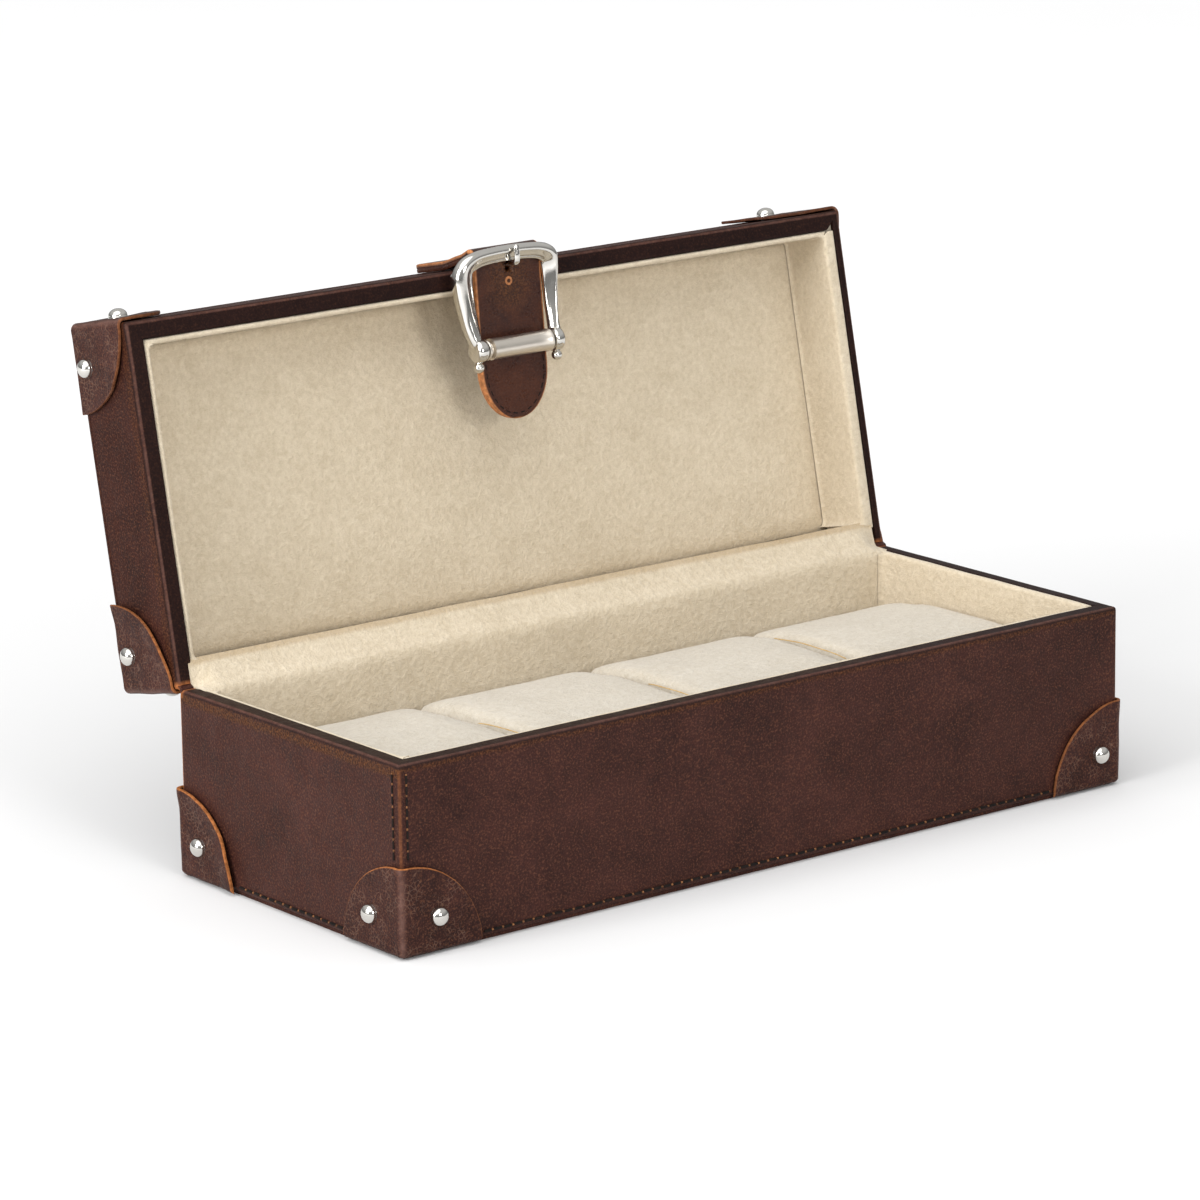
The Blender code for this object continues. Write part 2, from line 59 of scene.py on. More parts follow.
JOINTS = {j["name"]: j for j in frame["joints"]}
HINGE = Vector(JOINTS["lid_hinge"]["pos_m"])
BEND_REST = Vector(JOINTS["strap_follow"]["pos_m"])
BAR_REST = Vector(JOINTS["prong_tilt"]["pos_m"])
ROLLER_REST = Vector(JOINTS["roller_spin"]["pos_m"])
LID_OPEN = radians(JOINTS["lid_hinge"]["range_deg"][1])

FRONT_LOW, FRONT_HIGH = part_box("base_leather_front")
LENGTH = 2 * round(FRONT_HIGH.x + 0.00015, 4)
DEPTH = -2 * FRONT_LOW.y
BASE_RIM = FRONT_HIGH.z
GAP = 0.0003
LID_RIM = BASE_RIM + GAP
LID_TOP = 0.090
TOP_THICK = 0.0015
LEATHER = 0.0012
BOARD_IN = 0.0062
LINING_OUT = 0.0065
WALL = 0.0080
CORNER = 0.0012
LID_RECESS = 0.0205
STRAP_TURN = radians(96.7)

LID = Matrix.Translation(HINGE) @ Matrix.Rotation(-LID_OPEN, 4, "X") @ Matrix.Translation(-HINGE)
BEND_CLOSED = LID.inverted() @ BEND_REST
FLAP = Matrix.Translation(BEND_REST) @ Matrix.Rotation(STRAP_TURN - LID_OPEN, 4, "X")
STILL = Matrix.Identity(4)

SIDES = {
    "front": (0.0, (0.0, -DEPTH / 2), LENGTH),
    "right": (90.0, (LENGTH / 2, 0.0), DEPTH),
    "back": (180.0, (0.0, DEPTH / 2), LENGTH),
    "left": (270.0, (-LENGTH / 2, 0.0), DEPTH),
}

PARTS = {"base": (STILL, BASE_RIM, -1), "lid": (LID, LID_RIM, 1)}

# ---------------------------------------------------------------- materials


class Shader:
    """A small helper to build a procedural material, or the world."""

    def __init__(self, name, kind="materials", main="Principled BSDF"):
        self.owner = getattr(bpy.data, kind).new(name)
        self.owner.use_nodes = True
        self.tree = self.owner.node_tree
        self.main = self.tree.nodes[main]

    def put(self, socket, value):
        if hasattr(value, "links"):
            self.tree.links.new(value, socket)
        else:
            socket.default_value = value

    def node(self, kind, inputs, **settings):
        made = self.tree.nodes.new(kind)
        for key, value in settings.items():
            setattr(made, key, value)
        for socket, value in inputs.items():
            self.put(made.inputs[socket], value)
        return made

    def place(self, scale=(1.0, 1.0, 1.0)):
        coords = self.node("ShaderNodeTexCoord", {}).outputs["Object"]
        return self.node("ShaderNodeMapping", {"Vector": coords, "Scale": scale}).outputs["Vector"]

    def noise(self, place, scale, detail=4.0, rough=0.55, distortion=0.0):
        inputs = {"Vector": place, "Scale": scale, "Detail": detail, "Roughness": rough}
        return self.node("ShaderNodeTexNoise", inputs | {"Distortion": distortion}).outputs["Fac"]

    def cells(self, place, scale):
        inputs = {"Vector": place, "Scale": scale}
        return self.node("ShaderNodeTexVoronoi", inputs, feature="DISTANCE_TO_EDGE").outputs["Distance"]

    def span(self, value, low, high, out_low=0.0, out_high=1.0):
        inputs = {"Value": value, "From Min": low, "From Max": high, "To Min": out_low, "To Max": out_high}
        return self.node("ShaderNodeMapRange", inputs).outputs["Result"]

    def times(self, first, second):
        return self.node("ShaderNodeMath", {0: first, 1: second}, operation="MULTIPLY").outputs[0]

    def plus(self, first, second):
        return self.node("ShaderNodeMath", {0: first, 1: second}, operation="ADD").outputs[0]

    def mix(self, factor, first, second):
        first, second = (c if hasattr(c, "links") else (*c, 1.0) for c in (first, second))
        inputs = {"Factor": factor, 6: first, 7: second}
        return self.node("ShaderNodeMix", inputs, data_type="RGBA").outputs[2]

    def attribute(self, name):
        return self.node("ShaderNodeAttribute", {}, attribute_name=name).outputs["Fac"]

    def bump(self, height, strength, distance, before=None):
        inputs = {"Strength": strength, "Distance": distance, "Height": height}
        if before is not None:
            inputs["Normal"] = before
        return self.node("ShaderNodeBump", inputs).outputs["Normal"]

    def finish(self, **sockets):
        for name, value in sockets.items():
            self.put(self.main.inputs[name.replace("_", " ")], value)
        return self.owner


SPECKLE = (0.190, 0.076, 0.038)
PIT = (0.008, 0.004, 0.004)
CRACK = (0.210, 0.120, 0.085)
BURNT = ((0.026, 0.008, 0.003), (0.120, 0.042, 0.010))
EDGE_DYE = (0.008, 0.005, 0.005)
RUBBED_HIGHLIGHT = (0.16, 0.085, 0.068)
CREASE_SHADE_TONE = (0.36, 0.235, 0.100)


def leather_material(name, deep, light, tan, rough, shine, speckle, mottling=1.0, cracks=0.0):
    """Waxed brown leather: mottled, finely grained, with raw tan edges, burnished bands, and worn ridges with a
    painted highlight.
    """
    s = Shader(name)
    place = s.place()
    cloud = s.span(s.noise(place, 42.0 * mottling, 5.0, 0.6, 0.4), 0.36, 0.66)
    mottle = s.span(s.noise(place, 240.0, 3.0, 0.6), 0.35, 0.68)
    grain = s.noise(place, 1300.0, 3.0, 0.7)
    fleck = s.noise(place, 1450.0, 2.0, 0.7)
    colour = s.mix(cloud, deep, light)
    colour = s.mix(s.times(mottle, 0.28), colour, tuple(1.4 * c for c in light))
    speck = s.times(s.span(fleck, 0.50, 0.68, 0.0, 0.75 * speckle), s.span(grain, 0.36, 0.60, 0.35, 1.0))
    colour = s.mix(speck, colour, SPECKLE)
    pit = s.times(s.span(fleck, 0.46, 0.32, 0.0, 0.8 * speckle), s.span(grain, 0.62, 0.40, 0.4, 1.0))
    colour = s.mix(pit, colour, PIT)
    if cracks:
        web = s.span(s.cells(place, 620.0), 0.0, 0.09, cracks, 0.0)
        web = s.times(web, s.span(s.noise(place, 210.0, 3.0), 0.46, 0.58))
        colour = s.mix(web, colour, CRACK)
    band = s.times(s.attribute("band"), s.span(s.noise(place, 520.0, 3.0), 0.32, 0.60, 0.70, 1.0))
    colour = s.mix(band, colour, s.mix(s.span(fleck, 0.42, 0.62), *BURNT))
    colour = s.mix(s.times(s.attribute("edge"), 0.72), colour, EDGE_DYE)
    # Worn ridges, folds and edges turn a lighter purple-grey: partly real wear and partly a painted highlight.
    wear_and_highlight = s.times(s.attribute("wear_and_highlight"), s.span(s.noise(place, 330.0, 3.0), 0.40, 0.62, 0.45, 0.85))
    colour = s.mix(wear_and_highlight, colour, RUBBED_HIGHLIGHT)
    raw = s.attribute("raw")
    fresh = s.mix(s.span(s.noise(place, 700.0, 3.0), 0.35, 0.65), tuple(0.5 * c for c in tan), tan)
    colour = s.mix(raw, colour, fresh)
    pores = s.span(s.cells(place, 800.0), 0.0, 0.22)
    height = s.plus(s.times(pores, 0.5), s.times(grain, 0.9))
    normal = s.bump(s.noise(place, 75.0, 3.0, 0.5), 0.35, 0.0009, s.bump(height, 0.45, 0.00016))
    gloss = s.plus(s.span(mottle, 0.0, 1.0, rough - 0.05, rough + 0.10), s.times(raw, 0.30))
    return s.finish(Base_Color=colour, Roughness=gloss, Normal=normal, Specular_IOR_Level=shine)


def suede_material(name, low, high):
    """Short-napped cloth: soft cloudy shading where the nap lies different ways."""
    s = Shader(name)
    place = s.place()
    cloud = s.span(s.noise(place, 55.0, 4.0, 0.65, 0.8), 0.34, 0.66)
    fine = s.span(s.noise(place, 520.0, 3.0, 0.7), 0.34, 0.68)
    fibre = s.noise(s.place((1.0, 1.0, 2.0)), 1500.0, 3.0, 0.75)
    nap_tone = s.plus(s.times(fine, 0.47), s.times(s.span(fibre, 0.34, 0.66), 0.30))
    tone = s.plus(s.times(cloud, 0.23), nap_tone)
    # The crease mark darkens the suede towards a yellow-tan in creases and where suede parts meet: painted shade.
    colour = s.mix(s.times(s.attribute("crease"), 0.8), s.mix(tone, low, high), CREASE_SHADE_TONE)
    normal = s.bump(s.plus(s.times(fibre, 0.6), s.times(fine, 0.8)), 0.85, 0.00034)
    sheen = {"Sheen_Weight": 0.25, "Sheen_Roughness": 0.6}
    return s.finish(Base_Color=colour, Roughness=0.97, Normal=normal, Specular_IOR_Level=0.12, **sheen)


def metal_material(name, colour, rough, scratch=0.05):
    """Plated metal, faintly smeared and uneven."""
    s = Shader(name)
    place = s.place()
    smear = s.noise(place, 180.0, 3.0, 0.6)
    gloss = s.span(smear, 0.30, 0.70, rough, rough + scratch)
    normal = s.bump(s.noise(place, 420.0, 2.0, 0.5), 0.10, 0.00008)
    tint = s.mix(s.span(smear, 0.35, 0.75, 0.0, 0.35), colour, tuple(0.82 * c for c in colour))
    return s.finish(Base_Color=tint, Roughness=gloss, Metallic=1.0, Normal=normal)


def plain_material(name, low, high, scale, rough):
    """A dull material of two mixed tones, for board and thread."""
    s = Shader(name)
    grain = s.noise(s.place(), scale, 4.0, 0.6)
    colour = s.mix(s.span(grain, 0.32, 0.68), low, high)
    normal = s.bump(grain, 0.4, 0.0002)
    return s.finish(Base_Color=colour, Roughness=rough, Normal=normal, Specular_IOR_Level=0.25)


TAN = (0.46, 0.165, 0.052)
DULL_TAN = (0.36, 0.125, 0.042)
PALE_TAN = (0.56, 0.22, 0.08)
BOX_LEATHER = leather_material(
    "box_leather", (0.023, 0.0072, 0.0054), (0.047, 0.0156, 0.0118), DULL_TAN, 0.52, 0.12, 0.6
)
LID_LEATHER = leather_material(
    "lid_leather", (0.018, 0.0054, 0.0038), (0.040, 0.0130, 0.0094), DULL_TAN, 0.50, 0.06, 0.6
)
PATCH_LEATHER = leather_material(
    "patch_leather", (0.022, 0.0076, 0.0060), (0.044, 0.0156, 0.0124), TAN, 0.50, 0.10, 0.7, 1.7, 0.42
)
STRAP_LEATHER = leather_material(
    "strap_leather", (0.020, 0.0042, 0.0022), (0.052, 0.0138, 0.0052), PALE_TAN, 0.30, 0.26, 0.25, 2.2
)
LINING_SUEDE = suede_material("suede_lining", (0.500, 0.412, 0.285), (0.715, 0.622, 0.478))
CUSHION_SUEDE = suede_material("cushion_suede", (0.455, 0.400, 0.314), (0.612, 0.566, 0.486))
NICKEL = metal_material("nickel", (0.66, 0.64, 0.60), 0.09)
SATIN_NICKEL = metal_material("satin_nickel", (0.72, 0.665, 0.59), 0.30, 0.08)
STEEL = metal_material("steel", (0.50, 0.50, 0.50), 0.32, 0.15)
BOARD = plain_material("board", (0.30, 0.26, 0.20), (0.46, 0.41, 0.33), 900.0, 0.92)
THREAD = plain_material("brown_thread", (0.0014, 0.0009, 0.0008), (0.0150, 0.0080, 0.0055), 500.0, 0.90)
HOLE_EDGE = plain_material("hole_edge", (0.035, 0.014, 0.007), (0.300, 0.130, 0.050), 700.0, 0.90)
TAN_THREAD = plain_material("tan_thread", (0.420, 0.270, 0.110), (0.600, 0.430, 0.220), 1500.0, 0.85)
SLOTS = {
    "box_leather": BOX_LEATHER, "patch_leather": PATCH_LEATHER, "strap_leather": STRAP_LEATHER,
    "suede_lining": LINING_SUEDE, "cushion_suede": CUSHION_SUEDE, "nickel": NICKEL, "steel": STEEL,
    "board": BOARD,
}

# ---------------------------------------------------------------- mesh helpers


def place_mesh(name, mesh, material, angle):
    """A finished mesh as an object, smooth except at edges sharper than the angle in degrees."""
    mesh.shade_smooth()
    mesh.set_sharp_from_angle(angle=radians(angle))
    mesh.materials.append(material)
    made = bpy.data.objects.new(name, mesh)
    bpy.context.scene.collection.objects.link(made)
    return made


def make_mesh(name, verts, faces, material, marks=None, angle=40.0, merge=True):
    """An object from points and faces, with painted marks as one number per point."""
    mesh = bpy.data.meshes.new(name)
    mesh.from_pydata([tuple(v) for v in verts], [], faces)
    for mark, values in (marks or {}).items():
        layer = mesh.attributes.new(mark, "FLOAT", "POINT")
        layer.data.foreach_set("value", np.asarray(values, np.float32).ravel())
    shape = bmesh.new()
    shape.from_mesh(mesh)
    if merge:
        bmesh.ops.remove_doubles(shape, verts=shape.verts[:], dist=1e-6)
    bmesh.ops.recalc_face_normals(shape, faces=shape.faces[:])
    shape.to_mesh(mesh)
    shape.free()
    return place_mesh(name, mesh, material, angle)


def grid_faces(nx, ny):
    """Faces of a grid of points whose second index runs fastest."""
    corners = [i * (ny + 1) + j for i in range(nx) for j in range(ny)]
    return [(a, a + ny + 1, a + ny + 2, a + 1) for a in corners]


def band_faces(a, b, size):
    """Faces between two closed rings of points that start at a and b."""
    nexts = [(k, (k + 1) % size) for k in range(size)]
    return [(a + k, a + m, b + m, b + k) for k, m in nexts]


def circle(centre, first, second, count):
    """Points round an ellipse with the given half axes."""
    turns = [tau * i / count for i in range(count)]
    return [centre + first * cos(a) + second * sin(a) for a in turns]


def loft(name, rings, material, marks=None, loop=False, matrix=STILL):
    """Skins rings of equal length; the ends are capped unless the rings close on themselves."""
    rings = np.asarray(rings, float)
    count, size = rings.shape[:2]
    turn = np.array(matrix)
    verts = rings.reshape(-1, 3) @ turn[:3, :3].T + turn[:3, 3]
    faces = []
    for i in range(count if loop else count - 1):
        faces += band_faces(i * size, (i + 1) % count * size, size)
    if not loop:
        faces.append(tuple(range(size - 1, -1, -1)))
        faces.append(tuple((count - 1) * size + k for k in range(size)))
    return make_mesh(name, verts, faces, material, marks)


def settle(piece, body, slot, *nodes):
    """The piece moves with a body and stands for CAD nodes, which are hidden; the slot is not used."""
    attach(piece, body)
    if nodes:
        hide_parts(*nodes)


def wave(x, y, scale, seed):
    """Smooth unevenness between about -1 and 1 that depends only on the place."""
    return noise.noise(Vector((x * scale, y * scale, seed)))


def smooth(value, low, high):
    """0 below low, 1 above high and an even step between."""
    t = min(1.0, max(0.0, (value - low) / (high - low)))
    return t * t * (3.0 - 2.0 * t)


def arc(centre, radius, start, end, steps):
    angles = [radians(start + (end - start) * i / steps) for i in range(steps + 1)]
    return [(centre[0] + radius * cos(a), centre[1] + radius * sin(a)) for a in angles]


def side_place(side):
    """From a wall's own frame (along, inwards, up) to the closed box."""
    turn, centre, _ = SIDES[side]
    return Matrix.Translation((*centre, 0.0)) @ Matrix.Rotation(radians(turn), 4, "Z")


def round_drop(distance, radius):
    """How far a rounded corner falls back at a distance from its end."""
    short = min(max(radius - distance, 0.0), radius)
    return radius - sqrt(radius**2 - short**2)


# ---------------------------------------------------------------- walls

CORNER_STEPS = (0.2929 * CORNER, 0.45 * CORNER, 0.65 * CORNER, CORNER, 2.2 * CORNER, 0.0045, WALL, 0.0105)


def stations(run, pitch, steps):
    """Distances along a side from its middle, dense near both corners."""
    free = run / 2 - steps[-1] - pitch / 2
    count = max(2, int(round(2 * free / pitch)))
    middle = [-free + 2 * free * i / count for i in range(count + 1)]
    return [-run / 2 + t for t in steps] + middle + [run / 2 - t for t in reversed(steps)]


FOOT_ROUND = {
    "base": ((0.0009, 0.0016), (0.0011, 0.0009), (0.0015, 0.0004), (0.0020, 0.0001), (0.0026, 0.0)),
    "lid": ((0.0, 0.0002), (0.0002, 0.0), (0.0012, 0.0)),
}
RIM_ROUND = 0.0014
RIM_WIDTH = {("lid", "right"): 0.0032, ("base", "right"): 0.0050}
BURNISH = {"front": (0.0010, 0.0022, 0.6), "left": (0.0012, 0.0040, 0.8), "right": (0.0012, 0.0038, 0.8)}


def leather_profile(reach, rim_in, foot):
    """(inset, distance from the rim, how far it is the outer face) round a skin that turns over the rim."""
    points = [(inset, reach - up, 1.0) for up, inset in foot]
    points += [(0.0, v, 1.0) for v in np.arange(reach - 0.004, 0.0066, -0.0046)]
    points += [(0.0, v, 1.0) for v in (0.0056, 0.0048, 0.0042, 0.0036, 0.0030, 0.0025, 0.0020, 0.0017)]
    for u, v in arc((RIM_ROUND, RIM_ROUND), RIM_ROUND, 180.0, 270.0, 6):
        points.append((u, v, 1.0 - u / RIM_ROUND))
    points += [(0.5 * (RIM_ROUND + rim_in), 0.0, 0.0), (rim_in - 0.0008, 0.0, 0.0)]
    points += [(u, v, 0.0) for u, v in arc((rim_in - 0.0007, 0.0007), 0.0007, 270.0, 360.0, 3)]
    points += [(rim_in, LEATHER + 0.0002, 0.0), (LEATHER, LEATHER + 0.0002, 0.0)]
    points += [(LEATHER, reach - 0.0030, 0.0), (foot[0][1] + 0.0001, reach - foot[0][0] - 0.0004, 0.0)]
    return points


def add_skin(prefix, side, reach, seed):
    """One wall's leather, gently uneven, with rounded corners and raw cut ends."""
    matrix, rim, away = PARTS[prefix]
    run = SIDES[side][2]
    place = side_place(side)
    profile = leather_profile(reach, RIM_WIDTH.get((prefix, side), BOARD_IN), FOOT_ROUND[prefix])
    back_end = {"right": 1, "left": -1}.get(side, 0)
    band_from, band_to, band_share = BURNISH[side]
    if prefix == "lid":
        band_share *= 0.35
    rings, raw, band, wear_and_highlight, edge = [], [], [], [], []
    for x in stations(run, 0.0055, CORNER_STEPS):
        t = run / 2 - abs(x)
        at_back = back_end * x > 0
        rounding = round_drop(t, CORNER)
        ring = []
        for u, v, outer in profile:
            hollow = 0.00013 * (1.0 + wave(x, v, 32.0, seed)) * smooth(t, 0.0, 0.012)
            inset = u + outer * (rounding + hollow)
            mitre = min(inset, LEATHER) if at_back else inset
            far = copysign(run / 2 - max(t, mitre + 0.00003), x)
            top_swell = 0.00010 * wave(x, 0.0, 45.0, seed + 3.0) * (1.0 - outer) if v < 0.001 else 0.0
            ring.append(place @ Vector((far, inset, rim + away * (v + top_swell))))
            cut = 0.30 * outer * (1.0 - smooth(t, 0.40 * CORNER, 0.80 * CORNER)) * smooth(v, 0.0012, 0.003)
            if at_back and v < 0.0024:
                cut = max(cut, 1.0 - smooth(t + 0.0008 * wave(u, v, 300.0, seed), 0.0012, 0.0024))
            raw.append(cut)
            ragged = 0.0005 * wave(x, 3.0, 160.0, seed)
            upper = smooth(v + ragged, band_from - 0.0005, band_from + 0.0003)
            lower = 1.0 - smooth(v + ragged, band_to - 0.0006, band_to + 0.0008)
            band.append(outer * band_share * upper * lower)
            # The rim's rounded ridge gets a thin painted highlight line; the raw corner cut gets a little wear.
            ridge = 1.0 - smooth(abs(outer - 0.45), 0.10, 0.45)
            wear_and_highlight.append(0.50 * ridge * (1.0 - smooth(v, 0.0008, 0.0016)) + 0.3 * cut)
            edge.append((1.0 - smooth(v, 0.0006, 0.0016)) * (1.0 - ridge) * (1.0 - cut))
        rings.append(ring)
    marks = {"raw": raw, "band": band, "wear_and_highlight": wear_and_highlight, "edge": edge}
    leather = LID_LEATHER if prefix == "lid" else BOX_LEATHER
    skin = loft(f"{prefix}_skin_{side}", rings, leather, marks, matrix=matrix)
    settle(skin, prefix, "box_leather", f"{prefix}_leather_{side}")


LINING_THICK = 0.0009
SOFT_CORNER = 0.0022
LINING_STEPS = (0.0066, WALL, WALL + 0.0004, WALL + 0.0010, WALL + 0.0022, 0.0140)


def lining_profile(reach, start):
    """(inset, distance from the rim, how far it is the inner face) round a lining with a rolled top edge."""
    if start < LINING_OUT:
        low, roll = 0.0076, arc((WALL - 0.0012, 0.0011), 0.0012, 270.0, 360.0, 5)
        points = [(start, 0.0011, 0.0), (start, 0.0004, 0.0), (start + 0.0004, 0.0, 0.0)]
        points += [(start + 0.0010, -0.0001, 0.0), (0.5 * (start + WALL), -0.0001, 0.0)]
    else:
        low, roll = 0.0072, arc((LINING_OUT + 0.0007, 0.00115), 0.00085, 180.0, 350.0, 7)
        points = []
    points += [(u, v, 1.0 if u > low else 0.0) for u, v in roll]
    points += [(WALL, v, 1.0) for v in np.arange(0.004, reach - 0.003, 0.005)]
    points += [(WALL, reach - 0.0018, 1.0), (WALL + 0.0001, reach - 0.0010, 1.0)]
    points += [(WALL + 0.0004, reach - 0.0004, 1.0), (WALL + 0.0009, reach - 0.0001, 1.0)]
    points += [(WALL + 0.0009, reach, 1.0), (LINING_OUT, reach, 0.0)]
    if start < LINING_OUT:
        points.append((LINING_OUT, 0.0016, 0.0))
    return points


def add_lining(prefix, side, reach, seed):
    """One wall's suede, softly uneven, rolled at its top edge and rounded into the corners."""
    matrix, rim, away = PARTS[prefix]
    run = SIDES[side][2]
    place = side_place(side)
    profile = lining_profile(reach, RIM_WIDTH.get((prefix, side), LINING_OUT - GAP) + GAP)
    rings, crease = [], []
    for x in stations(run, 0.006, LINING_STEPS):
        t = run / 2 - abs(x)
        near = t - WALL
        rounding = round_drop(near, SOFT_CORNER) if near > -1e-6 else 0.0
        ring = []
        for u, v, inner in profile:
            swell = 0.00018 * wave(x, v, 38.0, seed) * smooth(near, 0.0, 0.01)
            inset = u + inner * (swell + rounding)
            far = copysign(run / 2 - max(t, min(inset, WALL) + GAP / 2), x)
            z = rim + away * (v + 0.00025 * wave(x, 0.0, 60.0, seed + 5.0) * smooth(0.002 - v, 0.0, 0.002))
            ring.append(place @ Vector((far, inset, z)))
            # Painted shade in the crease under the rolled top edge.
            crease.append(0.30 * (1.0 - smooth(abs(v - 0.0022), 0.0002, 0.0012)) * inner)
        rings.append(ring)
    cloth = loft(f"{prefix}_suede_{side}", rings, LINING_SUEDE, {"crease": crease}, matrix=matrix)
    settle(cloth, prefix, "suede_lining", f"{prefix}_lining_{side}")


SKIN_SEEDS = {"base": 1.3, "lid": 7.3}
LINING_SEEDS = {"base": 11.3, "lid": 15.3}
SKIN_REACH = {"base": BASE_RIM - 0.0002, "lid": LID_TOP - TOP_THICK - 0.0001 - LID_RIM}
LINING_REACH = {"base": BASE_RIM - 0.0078, "lid": LID_RECESS - GAP}

for n, side in enumerate(("front", "right", "left")):
    for prefix in PARTS:
        add_skin(prefix, side, SKIN_REACH[prefix], SKIN_SEEDS[prefix] + n)
    for prefix in PARTS:
        add_lining(prefix, side, LINING_REACH[prefix], LINING_SEEDS[prefix] + n)


def add_strip(name, lines, thick, material, marks, slot, below, above, *nodes):
    """A strip along X over the hinge, baked in place; each line holds (x, y, z, lift) from the base to the lid."""
    rings = []
    for line in lines:
        front, rear = [], []
        for i, (x, y, z, lift) in enumerate(line):
            before, after = line[max(i - 1, 0)], line[min(i + 1, len(line) - 1)]
            along = Vector((after[1] - before[1], after[2] - before[2])).normalized()
            front.append((x, y + along.y * lift, z - along.x * lift))
            rear.append((x, y - along.y * thick, z + along.x * thick))
        rings.append(front + rear[::-1])
    sheet = loft(name, rings, material, marks)
    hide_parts(*nodes)
    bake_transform(sheet)
    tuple(below)
    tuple(above)
    return sheet


def lid_point(y, z):
    """A point of the closed lid, turned to the open lid."""
    turned = LID @ Vector((0.0, y, z))
    return (turned.y, turned.z)


def add_back_leather():
    """One piece of leather down the back of the base and over the hinge to the lid's back."""
    path = [(DEPTH / 2, 0.0002), (DEPTH / 2, 0.0012)]
    path += [(DEPTH / 2, z) for z in np.linspace(0.006, 0.054, 10)]
    path += [(DEPTH / 2, 0.0570), (DEPTH / 2 - 0.0001, 0.0588), (DEPTH / 2 + 0.0001, 0.0597)]
    path += [lid_point(DEPTH / 2 + 0.0001, 0.0606), lid_point(DEPTH / 2 - 0.0001, 0.0615)]
    upper = (0.0633, *np.linspace(0.067, 0.0872, 5), LID_TOP - TOP_THICK - GAP)
    path += [lid_point(DEPTH / 2, z) for z in upper]
    crease_at = {13: 0.9, 12: 0.5, 14: 0.5, 11: 0.15, 15: 0.15}
    lines, raw, wear_and_highlight = [], [], []
    for x in stations(LENGTH, 0.0055, (0.0003, 0.0007, 0.0014, 0.0040)):
        ripple = [0.00012 * wave(x, i * 0.004, 35.0, 21.0) - 0.00013 for i in range(len(path))]
        lines.append([(x, y, z, lift) for (y, z), lift in zip(path, ripple)])
        hidden = [0.0] * len(path)
        raw += [1.0 - smooth(LENGTH / 2 - abs(x), 0.0004, 0.0008)] * len(path) + hidden
        wear_and_highlight += [crease_at.get(i, 0.0) for i in range(len(path))] + hidden
    below = HINGE + Vector((0.0, 0.0002, -0.0016))
    above = HINGE + Vector((0.0, 0.0016, 0.0))
    marks = {"raw": raw, "wear_and_highlight": wear_and_highlight}
    nodes = ("base_leather_back", "lid_leather_back")
    add_strip("back_leather", lines, LEATHER, BOX_LEATHER, marks, "box_leather", below, above, *nodes)


def add_hinge_lining():
    """The suede that runs up the base's back wall and bridges the fold to the lid."""
    inner = DEPTH / 2 - WALL
    base_corner = Vector((inner, BASE_RIM))
    lid_corner = Vector(lid_point(inner, LID_RIM))
    fold = Vector((DEPTH / 2 - 0.0006, BASE_RIM + 0.0004))
    taut = [Vector((inner, z)) for z in (0.0063, *np.linspace(0.010, 0.056, 11))]
    taut += [Vector((inner + 0.0001, 0.0580)), Vector((inner + 0.0005, 0.0594))]
    tucked = list(taut)
    shares = (0.09, 0.17, 0.26, 0.36, 0.46, 0.56, 0.66, 0.76, 0.86, 0.95)
    for share in shares:
        sag = Vector((0.0004, -0.0005)) * sin(pi * share)
        taut.append(base_corner.lerp(lid_corner, share) + sag)
        if share < 0.5:
            tucked.append(base_corner.lerp(fold, share / 0.5))
        else:
            tucked.append(fold.lerp(lid_corner, (share - 0.5) / 0.5))
    ridge = len(taut)
    levels = (0.0640, 0.0680, 0.0730, 0.0780, LID_RIM + LID_RECESS - GAP)
    behind = [(inner - 0.0008, 0.0612), (inner + 0.0002, 0.0621)] + [(inner + 0.0013, z) for z in levels]
    behind = [Vector(lid_point(*point)) for point in behind]
    taut += behind
    tucked += behind
    tuck_steps = (0.0048, 0.0054, 0.0062, 0.0072, 0.0084, 0.0098, 0.0114, 0.0135)
    lines, crease = [], []
    for x in stations(LENGTH, 0.006, tuck_steps):
        full = smooth(LENGTH / 2 - tuck_steps[0] - abs(x), 0.0, 0.0075)
        # Painted shade along the fold's ridge, where it meets the lid's panel, stronger in some places than
        # others.
        crease_strength = 0.65 + 0.35 * wave(x, 0.0, 14.0, 33.0)
        line = []
        for i, (low, high) in enumerate(zip(tucked, taut)):
            point = low.lerp(high, full)
            lift = 0.00022 * wave(x, i * 0.003, 45.0, 31.0) if 0 < i < len(taut) - 1 else 0.0
            bridge = ridge - len(shares) <= i <= ridge
            seen = x if bridge else copysign(min(abs(x), LENGTH / 2 - 0.0069), x)
            line.append((seen, point.x, point.y, -lift))
            crease.append({-1: 0.85, 0: 1.0, 1: 0.9}.get(i - ridge, 0.0) * crease_strength)
        crease += [0.0] * len(line)
        lines.append(line)
    ends = (Vector((0.0, *base_corner)), Vector((0.0, *lid_corner)))
    nodes = ("base_lining_back", "lid_lining_back")
    cloth = add_strip(
        "hinge_lining", lines, -LINING_THICK, LINING_SUEDE, {"crease": crease}, "suede_lining", *ends, *nodes
    )


add_back_leather()
add_hinge_lining()

# ---------------------------------------------------------------- flat pieces


def rectangle(inset, z):
    """Points round a rectangle that lies inside the box's outline by an inset."""
    x = LENGTH / 2 - inset
    y = DEPTH / 2 - inset
    half = [(-x + 2 * x * i / 24, -y) for i in range(24)] + [(x, -y + 2 * y * i / 10) for i in range(10)]
    return [Vector((px, py, z)) for px, py in half + [(-px, -py) for px, py in half]]


